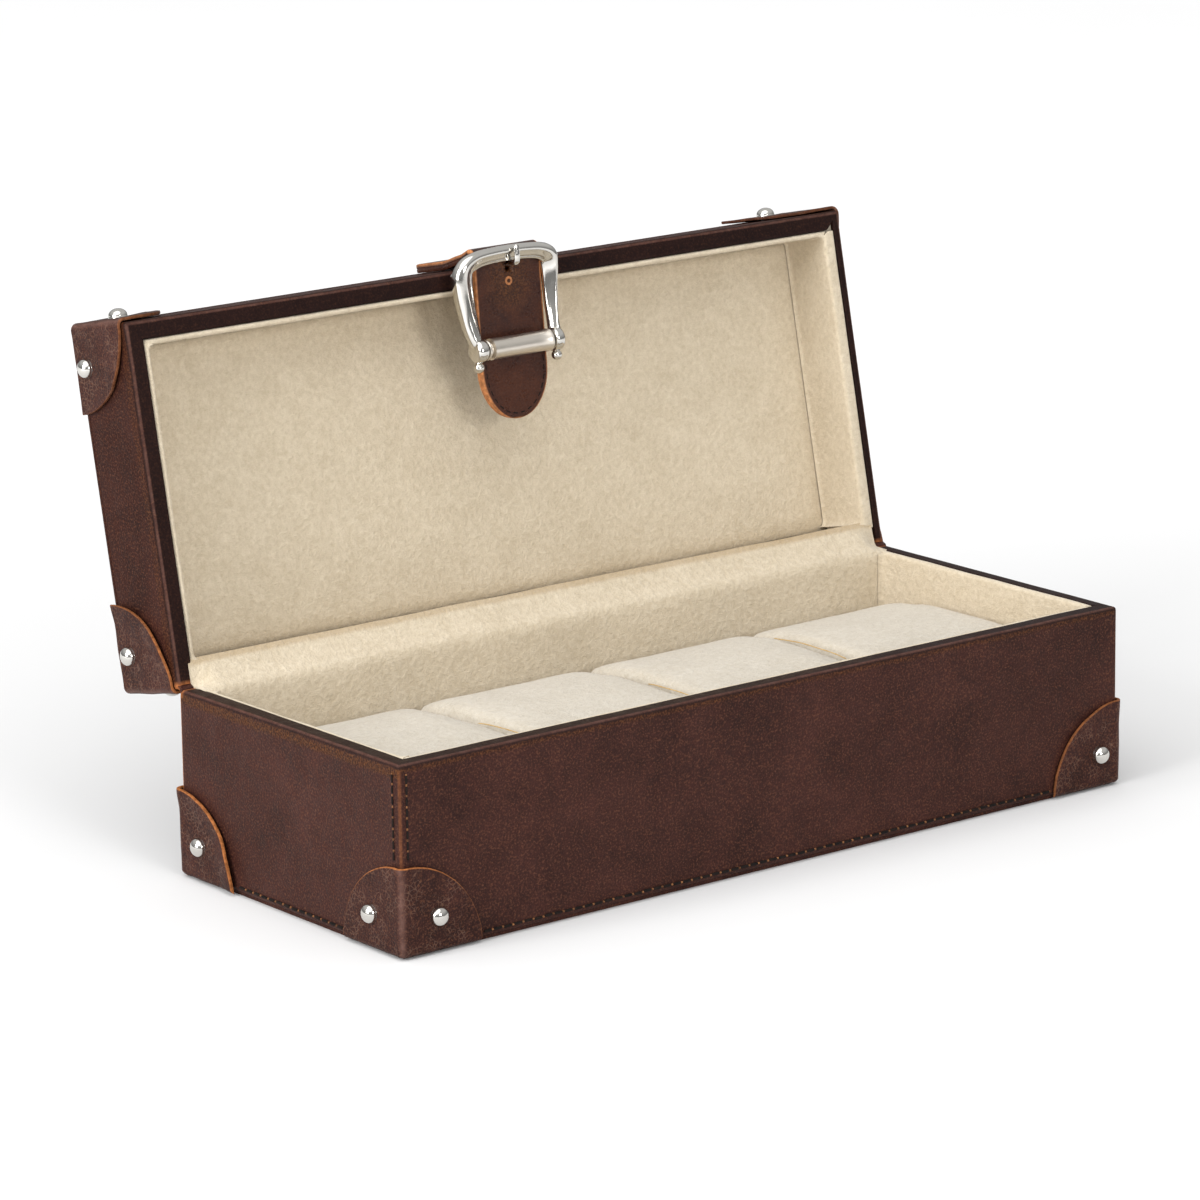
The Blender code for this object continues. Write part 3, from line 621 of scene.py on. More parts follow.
def add_top_leather():
    low = LID_TOP - TOP_THICK
    levels = [(0.030, low), (0.0002, low), (0.0, low + 0.0002), (0.0, low + 0.0008), (0.0002, low + 0.0012)]
    levels.append((0.0006, LID_TOP - 0.0001))
    levels += [(inset, LID_TOP) for inset in (0.0012, 0.004, 0.010, 0.018, 0.028, 0.040, 0.0550)]
    rings, wear_and_highlight = [], []
    for inset, z in levels:
        ring = rectangle(inset, z)
        for point in ring:
            if inset > 0.003 and z == LID_TOP:
                point.z -= 0.00018 * (1.0 + wave(point.x, point.y, 28.0, 41.0))
            wear_and_highlight.append(0.4 if inset < 0.002 and z > LID_TOP - 0.0004 else 0.0)
        rings.append(ring)
    top = loft("lid_top_leather", rings, LID_LEATHER, {"wear_and_highlight": wear_and_highlight}, matrix=LID)
    settle(top, "lid", "box_leather", "lid_leather_top")


PAD_TUCK = 0.0012
PAD_STEP = 0.0045
PANEL_THICK = 0.0031


def add_slab(name, z_low, z_high, bulge, edge, seed, flip, matrix=STILL):
    """A soft flat pad between the linings; the bulging face is the low one if flip is set."""
    half_x = LENGTH / 2 - WALL + PAD_TUCK
    half_y = DEPTH / 2 - WALL + PAD_TUCK
    nx, ny = int(2 * half_x / PAD_STEP), int(2 * half_y / PAD_STEP)
    verts, crease = [], []

    def spread(i, count, half):
        return half * (2 * (0.35 * (0.5 - 0.5 * cos(pi * i / count)) + 0.65 * i / count) - 1.0)

    for face in (0, 1):
        for i in range(nx + 1):
            for j in range(ny + 1):
                x, y = spread(i, nx, half_x), spread(j, ny, half_y)
                near = min(half_x - abs(x), half_y - abs(y))
                drop = round_drop(near, edge)
                uneven = 0.00022 * wave(x, y, 30.0, seed) * smooth(near, 0.0, 0.01)
                lift = bulge * (1.0 - drop / edge) + uneven
                if face == 0:
                    z = z_low - lift + drop * 0.5 if flip else z_high + lift - drop * 0.5
                else:
                    z = z_high if flip else z_low
                verts.append(Vector((x, y, z)))
                # Painted shade along the pad's edges, where it meets the linings.
                crease.append(0.15 * (1.0 - smooth(near, 0.0, 0.003)) if face == 0 else 0.0)
    size = (nx + 1) * (ny + 1)
    top = grid_faces(nx, ny)
    faces = top + [tuple(size + k for k in reversed(face)) for face in top]
    edge_run = [i * (ny + 1) for i in range(nx)] + [nx * (ny + 1) + j for j in range(ny)]
    edge_run += [i * (ny + 1) + ny for i in range(nx, 0, -1)] + list(range(ny, 0, -1))
    faces += [(a, a + size, b + size, b) for a, b in zip(edge_run, edge_run[1:] + edge_run[:1])]
    return make_mesh(name, [matrix @ v for v in verts], faces, LINING_SUEDE, {"crease": crease})


def add_pads():
    low = LID_RIM + LID_RECESS + GAP
    panel = add_slab("lid_padded_panel", low, low + PANEL_THICK, 0.0008, 0.0018, 51.0, True, LID)
    settle(panel, "lid", "suede_lining", "lid_panel_padded")
    floor_low, floor_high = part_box("base_lining_floor")
    floor = add_slab("base_suede_floor", floor_low.z, floor_high.z - GAP, 0.0002, 0.0010, 55.0, False)
    settle(floor, "base", "suede_lining", "base_lining_floor")


add_top_leather()
add_pads()

# ---------------------------------------------------------------- corner patches and rivets

PATCH_REACH = {"base": 0.0285, "lid": 0.0275}
# How raw the cut edge is at the top and at the sides, how far it curls up, and the leather's thickness.
PATCHES = {
    "base_front_left": (1.0, 0.30, 0.0004, 0.0010),
    "base_back_left": (1.0, 1.0, 0.0013, 0.0012),
    "base_front_right": (0.55, 0.45, 0.0004, 0.0010),
    "base_back_right": (0.6, 0.5, 0.0004, 0.0010),
    "lid_front_left": (0.35, 0.20, 0.0004, 0.0010),
    "lid_back_left": (0.75, 0.55, 0.0010, 0.0010),
    "lid_front_right": (0.15, 0.10, 0.0004, 0.0010),
    "lid_back_right": (0.5, 0.4, 0.0004, 0.0010),
}
PATCH_RHO = (0.0, 0.18, 0.34, 0.48, 0.60, 0.70, 0.78, 0.85, 0.90, 0.94, 0.97, 0.985)
FOLD_LINES = (-0.0036, -0.0022, -0.0014, -0.0009, -0.0004, 0.0, 0.0004, 0.0009, 0.0014, 0.0022, 0.0036)
FOOT_LINES = (0.0004, 0.0009, 0.0016)


def patch_slab(reach, seed):
    """A flat half disc of leather in (along, height, thickness 0 to 1), with an uneven cut edge."""
    profile = [(rho, 1.0) for rho in PATCH_RHO] + [(0.997, 0.93), (1.0, 0.7), (1.0, 0.3), (0.997, 0.07)]
    profile += [(rho, 0.0) for rho in reversed(PATCH_RHO)]
    count = 48
    shape = bmesh.new()
    rho_layer = shape.verts.layers.float.new("rho")
    rings = []
    for i in range(count + 1):
        phi = pi * i / count
        ragged = 1.0 + 0.010 * wave(phi, 0.0, 2.2, seed) + 0.004 * wave(phi, 5.0 / 11.0, 11.0, seed)
        ring = []
        for rho, thick in profile:
            radius = reach * rho * ragged
            vert = shape.verts.new((-radius * cos(phi), radius * sin(phi), thick))
            vert[rho_layer] = rho
            ring.append(vert)
        rings.append(ring)
    for a, b in zip(rings, rings[1:]):
        for k in range(len(profile) - 1):
            shape.faces.new((a[k], b[k], b[k + 1], a[k + 1]))
    shape.faces.new(rings[0])
    shape.faces.new(rings[-1][::-1])
    bmesh.ops.remove_doubles(shape, verts=shape.verts[:], dist=1e-7)
    cuts = [((s, 0.0, 0.0), (1.0, 0.0, 0.0)) for s in FOLD_LINES]
    for point, normal in cuts + [((0.0, z, 0.0), (0.0, 1.0, 0.0)) for z in FOOT_LINES]:
        geometry = shape.verts[:] + shape.edges[:] + shape.faces[:]
        bmesh.ops.bisect_plane(shape, geom=geometry, plane_co=point, plane_no=normal)
    return shape, rho_layer


DIMPLE_DEPTH = 0.00030
FOLD_SWELL = 0.00014


def hill(distance, width):
    """1 at the middle of a round rise, falling away over its width."""
    return exp(-((distance / width) ** 2))


def fold_round(s, offset):
    """Where a flat distance s across the corner lands: (distance along the long wall, inset from it)."""
    half_arc = pi / 4 * (CORNER + GAP)
    if abs(s) >= half_arc:
        along = CORNER + abs(s) - half_arc
        return (along, -offset) if s > 0 else (-offset, along)
    angle = pi / 4 * (1.0 - s / half_arc)
    radius = CORNER + offset
    return (CORNER - radius * sin(angle), CORNER - radius * cos(angle))


def add_patch(prefix, corner, to_world, rivets, seed):
    """A half disc of leather folded round a corner, dimpled by its rivets and lifting at its cut edge."""
    shape, rho_layer = patch_slab(PATCH_REACH[prefix], seed)
    raw_top, raw_side, curl, thickness = PATCHES[f"{prefix}_{corner}"]
    raw, wear_and_highlight, verts = [], [], []
    for vert in shape.verts:
        s, height, thick = vert.co
        rho = vert[rho_layer]
        phi = atan2(height, -s)
        lift = curl * smooth(rho, 0.72, 1.0) * (0.55 + 0.9 * wave(phi, 9.0 / 1.6, 1.6, seed))
        lift += 0.00022 * (0.5 + wave(s, height, 120.0, seed)) * smooth(rho, 0.1, 0.4)
        for across, up in rivets:
            lift -= DIMPLE_DEPTH * hill(hypot(s - across, height - up), 0.0036)
        tuck = 0.0011 * (1.0 - smooth(height, 0.0, 0.0018)) * thick if prefix == "base" else 0.0
        offset = GAP * 0.5 + thick * thickness + max(lift, -0.0002) + FOLD_SWELL * hill(s, 0.0020) - tuck
        along, inset = fold_round(s, offset)
        share = raw_side + (raw_top - raw_side) * smooth(sin(phi), 0.55, 0.92)
        cut = 1.0 if rho > 0.99 or (rho > 0.98 and thick < 0.5) else 0.0
        raw.append(share * cut)
        # The thin lighter line along the fold is partly wear and partly a painted highlight.
        wear_and_highlight.append(0.80 * hill(s, 0.0006))
        lowest = 0.0008 if prefix == "base" else 0.0002
        verts.append(to_world(along, inset, max(height + 0.0002, lowest)))
    shape.verts.index_update()
    faces = [tuple(v.index for v in face.verts) for face in shape.faces]
    shape.free()
    name = f"{prefix}_patch_skin_{corner}"
    patch = make_mesh(name, verts, faces, PATCH_LEATHER, {"raw": raw, "wear_and_highlight": wear_and_highlight}, angle=45.0, merge=False)
    settle(patch, prefix, "patch_leather", f"{prefix}_patch_{corner}")


def revolve(name, profile, origin, axis, material, segments=32):
    """A turned piece from (radius, height) along an axis, closed at both ends."""
    rise = axis.orthogonal().normalized()
    across = axis.cross(rise)
    rings = [circle(origin + axis * height, rise * r, across * r, segments) for r, height in profile]
    return loft(name, rings, material)


RIVET_OUT = 0.0016
RIVET_ANGLES = np.radians([2, 14, 28, 42, 55, 67, 78, 86])
RIVET_DOME = [(0.0031 * cos(a), 0.0001 + 0.0024 * sin(a)) for a in RIVET_ANGLES]
RIVET_RIM = [(0.0026, -0.0012), (0.0031, -0.0008), (0.00322, -0.0005), (0.0032, -0.0003), (0.0031, -0.0001)]


def add_corner(prefix, corner, seed):
    """One corner's patch with its two rivets."""
    matrix, _, away = PARTS[prefix]
    outer = LID_TOP if prefix == "lid" else 0.0
    side = Vector((1 if corner.endswith("right") else -1, 1 if corner.startswith("back") else -1, -away))

    def to_world(along, inset, rise):
        """A point by its distances from the corner's own end, long wall and outer face."""
        x, y = side.x * (LENGTH / 2 - along), side.y * (DEPTH / 2 - inset)
        return matrix @ Vector((x, y, outer + side.z * rise))

    back = matrix.inverted()
    spots = []
    for way in ("long", "end"):
        node = f"{prefix}_rivet_{corner}_{way}"
        points = np.array([(back @ v.co)[:] for v in frame["nodes"][node].data.vertices])
        middle = (points.min(0) + points.max(0)) / 2
        rise = abs(middle[2] - outer)
        along, inset = LENGTH / 2 - abs(middle[0]), DEPTH / 2 - abs(middle[1])
        if way == "long":
            foot = to_world(along, -RIVET_OUT, rise)
            normal = Vector((0.0, side.y, 0.0))
            spots.append((along, rise))
        else:
            foot = to_world(-RIVET_OUT, inset, rise)
            normal = Vector((side.x, 0.0, 0.0))
            spots.append((-inset, rise))
        head = revolve(f"{node}_head", RIVET_RIM + RIVET_DOME, foot, matrix.to_3x3() @ normal, NICKEL)
        settle(head, prefix, "nickel", node)
    add_patch(prefix, corner, to_world, spots, seed)


for prefix, first_seed in (("base", 61.0), ("lid", 64.0)):
    for k, corner in enumerate(("front_left", "back_left", "front_right", "back_right")):
        add_corner(prefix, corner, first_seed + 7.0 * k)

# ---------------------------------------------------------------- strap

STRAP_X = -0.0022
STRAP_HALF = 0.0133
STRAP_LENGTH = 0.0533
STRAP_TIP = 0.0165
STRAP_THICK = 0.0031
ROOT_THICK = 0.0029
ROOT_TOP = 0.0850
KNEE = 0.0700
SHOULDER = STRAP_LENGTH - STRAP_TIP
STRAP_WALL = -DEPTH / 2 - GAP
FLAP_BACK = FLAP.inverted()
FLAP_STEPS = (
    0.0012, 0.0026, 0.004, 0.006, 0.008, 0.010, 0.0125, 0.015, 0.018, 0.021, 0.024, 0.027, 0.030, 0.033,
)
TIP_ANGLES = (8, 16, 24, 32, 40, 48, 55, 61, 67, 72, 76, 80, 83, 86)
SLOT_HALF = 0.0012
SLOT_TOP = 0.0018
SLOT_END = 0.0054
EDGE_SECTION = (
    (0.0012, 0.00), (0.0004, 0.00), (0.0001, 0.04), (0.0, 0.12), (0.0, 0.42), (0.0002, 0.48), (0.0002, 0.54),
    (0.0, 0.60), (0.0, 0.88), (0.0001, 0.95), (0.00035, 0.99), (0.0008, 1.0), (0.0016, 1.0), (0.0026, 1.0),
)


def flap_point(x, down, out):
    """A point of the flap's frame: along the box, down from the bend, out from the wall."""
    return FLAP @ Vector((x, -out, -down))


def flap_way(x, down, out):
    """A direction in the flap's frame."""
    return FLAP.to_3x3() @ Vector((x, -out, -down))


def band_ring(inner, outer, half, to_world):
    """A section of the strap from its inner to its outer (y, z), with two cut layers at its edges."""
    left = [(min(inset, 0.75 * half) - half, depth) for inset, depth in EDGE_SECTION]
    section = left + [(share * half, 1.0) for share in (-0.55, -0.18, 0.18, 0.55)]
    section += [(-x, depth) for x, depth in reversed(left)]
    section += [(share * half, 0.0) for share in (0.45, 0.0, -0.45)]
    inner, outer = Vector((STRAP_X, *inner)), Vector((STRAP_X, *outer))
    return [to_world @ (inner.lerp(outer, depth) + Vector((x, 0.0, 0.0))) for x, depth in section]


def paint(piece, mark, value_of):
    """Marks each point of a finished mesh by its place."""
    mesh = piece.data
    layer = mesh.attributes.get(mark) or mesh.attributes.new(mark, "FLOAT", "POINT")
    layer.data.foreach_set("value", np.array([value_of(v.co) for v in mesh.vertices], np.float32))


def bend_section(angle):
    """The strap's section at an angle round its bend, in the closed lid's frame."""
    out = Matrix.Rotation(angle, 3, "X") @ Vector((0.0, -1.0, 0.0))
    centre = Vector((0.0, BEND_CLOSED.y, BEND_CLOSED.z))
    swell = 0.00030 * sin(pi * min(1.0, max(0.0, angle / STRAP_TURN)))
    near = centre + out * 0.0001
    far = centre + out * (STRAP_THICK + swell)
    return (near.y, near.z), (far.y, far.z)


def strap_drift(down):
    """How far the strap's cut edge wanders from its straight line."""
    return 0.00018 * wave(down, 1.0, 90.0, 71.0)


def root_rise(z):
    """How far the strap's root stands off the lid's front at a height of the closed box."""
    return 0.0015 * smooth(KNEE + 0.001 - z, 0.0, 0.0125) + 0.0010 * smooth(BASE_RIM - z, 0.0, 0.0045)


def add_strap_root():
    """The strap's upper part, fixed to the lid's front."""
    heights = [ROOT_TOP - step for step in (0.0, 0.0002, 0.0006, 0.0014)]
    heights += [0.082, 0.079, 0.076, 0.0735, 0.0715, KNEE, 0.0685, 0.067, 0.065, 0.063, 0.061, 0.059, 0.057]
    corners = [0.0007, 0.0003, 0.0001] + [0.0] * (len(heights) - 3)
    rings = []
    for z, corner in zip(heights, corners):
        face = STRAP_WALL - root_rise(z)
        half = STRAP_HALF - corner + strap_drift(z)
        rings.append(band_ring((face + 0.00005, z), (face - ROOT_THICK + corner, z), half, LID))
    for degrees, narrower in ((0.0, 0.0), (5.0, 0.0001)):
        rings.append(band_ring(*bend_section(radians(degrees)), STRAP_HALF - narrower, LID))
    root = loft("strap_root_band", rings, STRAP_LEATHER)
    to_closed = LID.inverted()

    def raw(co):
        p = to_closed @ co
        edge = smooth(abs(p.x - STRAP_X), STRAP_HALF - 0.0005, STRAP_HALF - 0.0002)
        depth = (STRAP_WALL - root_rise(p.z) - p.y) / ROOT_THICK
        return 0.9 * edge * smooth(depth, 0.74, 0.90)

    paint(root, "raw", raw)
    settle(root, "lid", "strap_leather", "strap_root")


def flap_curl(down):
    """How far the flap's tip turns away from the wall."""
    return 0.0007 * smooth(down, 0.030, STRAP_LENGTH)


def flap_raw(co):
    """The flap's raw cut edge."""
    p = FLAP_BACK @ co
    tip = max(0.0, (-p.z - SHOULDER) / STRAP_TIP)
    half = STRAP_HALF * sqrt(max(0.0, 1.0 - tip**2))
    return 1.0 - smooth(min(half - abs(p.x - STRAP_X), STRAP_LENGTH + p.z), 0.00028, 0.0006)


def flap_band(co):
    """The rubbed leather round the slot and the prong."""
    p = FLAP_BACK @ co
    middle = min(max(-p.z, 0.003), 0.0100)
    return 0.75 * (1.0 - smooth(hypot(p.x - STRAP_X, -p.z - middle), 0.0020, 0.0115))


def add_strap_flap():
    """The bend and the hanging flap in one piece, with the slot cut through it."""
    angles = np.linspace(0.0, STRAP_TURN, 13)
    rings = [band_ring(*bend_section(angle), STRAP_HALF + 0.00001, LID) for angle in angles]
    downs = [(down, STRAP_HALF + strap_drift(down)) for down in (*FLAP_STEPS, SHOULDER)]
    for a in np.radians(TIP_ANGLES):
        downs.append((SHOULDER + STRAP_TIP * sin(a), (STRAP_HALF + strap_drift(SHOULDER)) * cos(a)))
    for down, half in downs:
        curl = flap_curl(down)
        thin = 0.0003 * smooth(down, STRAP_LENGTH - 0.0010, STRAP_LENGTH)
        rings.append(band_ring((-curl - thin, -down), (thin - STRAP_THICK - curl, -down), half, FLAP))
    flap = loft("strap_flap_band", rings, STRAP_LEATHER)
    cut_slot(flap)
    paint(flap, "raw", flap_raw)
    paint(flap, "band", flap_band)
    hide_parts("strap_back", "strap_front", "strap_bend")
    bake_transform(flap)


def add_slot_wear():
    """The frayed leather at the lower end of the slot."""
    dome = [(0.0016, -0.0004), (0.0016, -0.0001), (0.0013, 0.00010), (0.0008, 0.00002), (0.0002, -0.00010)]
    at = flap_point(STRAP_X, 0.0084, STRAP_THICK)
    worn_end = revolve("strap_slot_end", dome, at, flap_way(0.0, 0.0, 1.0), STRAP_LEATHER)
    paint(worn_end, "raw", lambda co: 0.85)
    settle(worn_end, "strap_flap", "strap_leather")


def cut_slot(flap):
    """The long hole that the prong comes through."""
    outline = []
    for x, down, _ in circle(Vector(), Vector((0.0, SLOT_HALF, 0.0)), Vector((SLOT_HALF, 0.0, 0.0)), 24):
        outline.append((STRAP_X + x, down + (SLOT_END - SLOT_HALF if down > 0 else SLOT_TOP + SLOT_HALF)))
    rings = [[flap_point(x, down, out) for x, down in outline] for out in (-0.002, 0.0060)]
    tool = loft("slot_tool", rings, STRAP_LEATHER)
    step = flap.modifiers.new("slot", "BOOLEAN")
    step.operation = "DIFFERENCE"
    step.object = tool
    step.solver = "EXACT"
    apply_modifiers(flap)
    bpy.data.objects.remove(tool, do_unlink=True)


def apply_modifiers(piece):
    bpy.context.view_layer.update()
    made = bpy.data.meshes.new_from_object(piece.evaluated_get(bpy.context.evaluated_depsgraph_get()))
    piece.modifiers.clear()
    piece.data = made


add_strap_root()
add_strap_flap()
add_slot_wear()

# ---------------------------------------------------------------- buckle

BUCKLE_X = -0.0034
RIGHT_ARM = (0.0002, 0.66)
LEFT_ARM = (-0.0005, 1.12)
EYE_X = 0.0151
EYE_LONGER = 0.0007
BAR_DOWN = 0.0055
BAR_OUT = -0.0012
ROLLER_DOWN = 0.0290
ROLLER_OUT = 0.0067
ROLLER_HALF = 0.0130
FRAME_HALF = (
    (0.0000, -0.0010, 0.0056, 0.0026, 0.0016, 1.0),
    (0.0070, -0.0008, 0.0056, 0.0026, 0.0016, 1.0),
    (0.0126, -0.0001, 0.0054, 0.0028, 0.0018, 1.0),
    (0.0164, 0.0018, 0.0048, 0.0032, 0.0024, 1.0),
    (0.0173, 0.0052, 0.0040, 0.0036, 0.0029, 1.0),
    (0.0171, 0.0105, 0.0040, 0.0034, 0.0029, 0.9),
    (0.0166, 0.0170, 0.0046, 0.0030, 0.0027, 0.7),
    (0.0161, 0.0228, 0.0056, 0.0026, 0.0025, 0.4),
    (0.0158, 0.0270, 0.0065, 0.0022, 0.0023, 0.1),
    (0.0149, 0.0288, 0.0067, 0.0015, 0.0016, 0.0),
    (0.0136, 0.0290, 0.0067, 0.0012, 0.0012, 0.0),
    (0.0060, 0.0290, 0.0067, 0.0012, 0.0012, 0.0),
)
PRONG_EYE = [(0.00095, -0.0010), (0.00135, -0.0011), (0.0015, -0.0008)]
PRONG_EYE += [(radius, -x) for radius, x in reversed(PRONG_EYE)]
SCOOP = (
    (-1.00, -0.30), (-1.00, -0.05), (-0.92, 0.10), (-0.72, 0.19), (-0.48, 0.34), (-0.24, 0.56), (-0.04, 0.80),
    (0.12, 0.96), (0.30, 1.00), (0.52, 0.96), (0.74, 0.78), (0.91, 0.46), (1.00, 0.05), (0.97, -0.40),
    (0.80, -0.75), (0.50, -0.95), (0.10, -1.00), (-0.35, -0.95), (-0.72, -0.78), (-0.93, -0.55),
)


def catmull(before, here, after, later, t):
    linear = (after - before) * t
    square = (before * 2 - here * 5 + after * 4 - later) * t**2
    cubic = (here * 3 - before - after * 3 + later) * t**3
    return here + (linear + square + cubic) * 0.5


def smooth_run(rows, steps, closed):
    """A fine run of values through the given rows."""
    rows = [np.array(r, float) for r in rows]
    count = len(rows)
    made = []
    for i in range(count if closed else count - 1):
        near = [rows[k % count if closed else min(max(k, 0), count - 1)] for k in range(i - 1, i + 3)]
        made += [catmull(*near, k / steps) for k in range(steps)]
    return made if closed else made + [rows[-1]]


def heading(path, i):
    """The way that an open run of points goes at one of them."""
    return path[min(i + 1, len(path) - 1)] - path[max(i - 1, 0)]


def turned_ring(name, profile, centre, count, material):
    """A hollow ring round the X axis from (radius, x) points."""
    spokes = circle(Vector(), Vector((0.0, 1.0, 0.0)), Vector((0.0, 0.0, 1.0)), count)
    rings = [[centre + spoke * radius + Vector((x, 0.0, 0.0)) for radius, x in profile] for spoke in spokes]
    return loft(name, rings, material, loop=True)


def join(name, parts):
    """Several closed metal shells as one object."""
    whole = bmesh.new()
    for part in parts:
        whole.from_mesh(part.data)
        bpy.data.objects.remove(part, do_unlink=True)
    mesh = bpy.data.meshes.new(name)
    whole.to_mesh(mesh)
    whole.free()
    return place_mesh(name, mesh, NICKEL, 42.0)


def cast_frame():
    """The frame's cast outline, scooped in front along the arms and round at the ends."""
    halves = []
    for inward, scale in (RIGHT_ARM, LEFT_ARM):
        half = []
        for x, down, out, width, *rest in FRAME_HALF:
            on_arm = smooth(down, 0.001, 0.008) * (1.0 - smooth(down, 0.023, 0.028))
            half.append((x - inward * on_arm, down, out, width * (1.0 + (scale - 1.0) * on_arm), *rest))
        halves.append(half)
    rows = halves[0] + [(-row[0], *row[1:]) for row in halves[1][:0:-1]]
    path = smooth_run(rows, 6, True)
    rings = []
    for i, row in enumerate(path):
        ahead = path[(i + 1) % len(path)][:2] - path[i - 1][:2]
        across = Vector((-ahead[1], ahead[0])).normalized()
        if across.x * row[0] + across.y * (row[1] - 0.012) < 0:
            across = -across
        round_share = 1.0 - min(max(row[5], 0.0), 1.0)
        ring = []
        for side, front in SCOOP:
            a = atan2(front, side)
            side += (cos(a) - side) * round_share
            front += (sin(a) - front) * round_share
            shift = across * (side * row[3])
            ring.append(flap_point(BUCKLE_X + row[0] + shift.x, row[1] + shift.y, row[2] + front * row[4]))
        rings.append(ring)
    return loft("frame_cast", rings, NICKEL, loop=True)


def add_cast_buckle():
    """The cast frame with its bar, the lugs on the strap and the roller's end eyes."""
    x_axis = Vector((1.0, 0.0, 0.0))
    parts = [cast_frame()]
    bar = [(0.0006, -0.0178), (0.0008, -0.0176), (0.0008, 0.0176), (0.0006, 0.0178)]
    parts.append(revolve("bar", bar, flap_point(BUCKLE_X, BAR_DOWN, BAR_OUT), x_axis, NICKEL, 20))
    for side in (-1, 1):
        rings = []
        for x, out in ((0.0176, -0.0012), (0.0178, 0.0), (0.0180, 0.0016), (0.0183, 0.0034)):
            middle = flap_point(BUCKLE_X + side * x, BAR_DOWN, out)
            rings.append(circle(middle, flap_way(0.0013, 0.0, 0.0), flap_way(0.0, 0.0016, 0.0), 16))
        parts.append(loft(f"lug_{side}", rings, NICKEL))
        eye = [(0.0010, -0.0015), (0.0026, -0.0015), (0.0034, -0.0014), (0.0039, -0.0010), (0.0040, -0.0004)]
        end = [(0.0040, 0.0004), (0.0038, 0.0010), (0.0033, 0.0015), (0.0025, 0.0018), (0.0010, 0.0020)]
        eye += [(radius, along + EYE_LONGER) for radius, along in end]
        at = flap_point(BUCKLE_X + side * EYE_X, ROLLER_DOWN, ROLLER_OUT)
        parts.append(revolve(f"eye_{side}", eye, at, x_axis * side, NICKEL))
        foot = [(0.0007, 0.0), (0.0008, 0.0006), (0.0013, 0.0010)]
        ball = np.radians([-30, -10, 10, 30, 50, 68, 82])
        foot += [(0.0018 * cos(a), 0.0022 + 0.0018 * sin(a)) for a in ball]
        at = flap_point(BUCKLE_X + side * (EYE_X + EYE_LONGER), ROLLER_DOWN + 0.0031, ROLLER_OUT)
        parts.append(revolve(f"foot_{side}", foot, at, flap_way(0.0, 1.0, 0.0), NICKEL, 24))
    settle(join("buckle_cast", parts), "strap_flap", "nickel", "buckle_frame")


def add_roller():
    """The turned tube between the eyes, grooved at one end."""
    bore, r, end = 0.0015, 0.0034, ROLLER_HALF
    tube = [(bore, -end), (r - 0.0003, -end), (r, 0.0003 - end), (r, 0.0006 - end)]
    tube += [(r - 0.0010, 0.0009 - end), (r - 0.0010, 0.0018 - end), (r + 0.0001, 0.0021 - end)]
    tube += [(r, -end * 0.5), (r, 0.0), (r, end * 0.5), (r, end - 0.0017)]
    tube += [(r + 0.0003, end - 0.0013), (r + 0.0003, end - 0.0003), (r - 0.0001, end)]
    centre = Vector((BUCKLE_X, *ROLLER_REST.yz))
    roller = turned_ring("buckle_roller_tube", tube + [(bore, end)], centre, 48, SATIN_NICKEL)
    settle(roller, "buckle_roller", "nickel", "buckle_roller")


def add_prong():
    """The prong from its eye on the bar, over the flap and down on the roller."""
    rows = [(5.0, -0.6, 0.85, 1.0), (4.3, 0.6, 0.8, 1.05), (3.35, 2.5, 0.8, 1.1), (3.0, 4.8, 0.8, 1.1)]
    rows += [(2.85, 6.6, 0.8, 1.1), (2.1, 8.0, 0.8, 1.1), (0.4, 8.55, 0.8, 1.05), (-1.5, 8.55, 0.75, 1.0)]
    rows += [(-3.0, 8.5, 0.7, 0.9), (-3.5, 8.5, 0.55, 0.7), (-3.75, 8.5, 0.3, 0.4)]
    path = smooth_run([tuple(v / 1000.0 for v in row) for row in rows], 4, False)
    rings = []
    for i, row in enumerate(path):
        ahead = heading(path, i)
        normal = Vector((-ahead[1], ahead[0])).normalized() * row[2]
        middle = flap_point(STRAP_X, row[0], row[1])
        rings.append(circle(middle, flap_way(row[3], 0.0, 0.0), flap_way(0.0, *normal), 16))
    eye = turned_ring("prong_eye", PRONG_EYE, BAR_REST, 28, NICKEL)
    prong = join("buckle_prong_bar", [loft("shank", rings, NICKEL), eye])
    settle(prong, "buckle_prong", "nickel", "buckle_prong")


add_cast_buckle()
add_roller()
add_prong()

# ---------------------------------------------------------------- stitches

STITCH_ROUND = ((0.0, 0.25), (0.06, 0.75), (0.2, 1.0), (0.8, 1.0), (0.94, 0.75), (1.0, 0.25))
STITCH_SIDES = 7


def add_stitch(verts, faces, start, end, radius):
    """Adds one rounded stitch between two points."""
    along = (end - start).normalized()
    rise = along.orthogonal().normalized()
    across = along.cross(rise)
    first = len(verts)
    for share, scale in STITCH_ROUND:
        verts += circle(start.lerp(end, share), rise * radius * scale, across * radius * scale, STITCH_SIDES)
    last = len(verts) - STITCH_SIDES
    for ring in range(first, last, STITCH_SIDES):
        faces += band_faces(ring, ring + STITCH_SIDES, STITCH_SIDES)
    faces.append(tuple(first + k for k in reversed(range(STITCH_SIDES))))
    faces.append(tuple(last + k for k in range(STITCH_SIDES)))


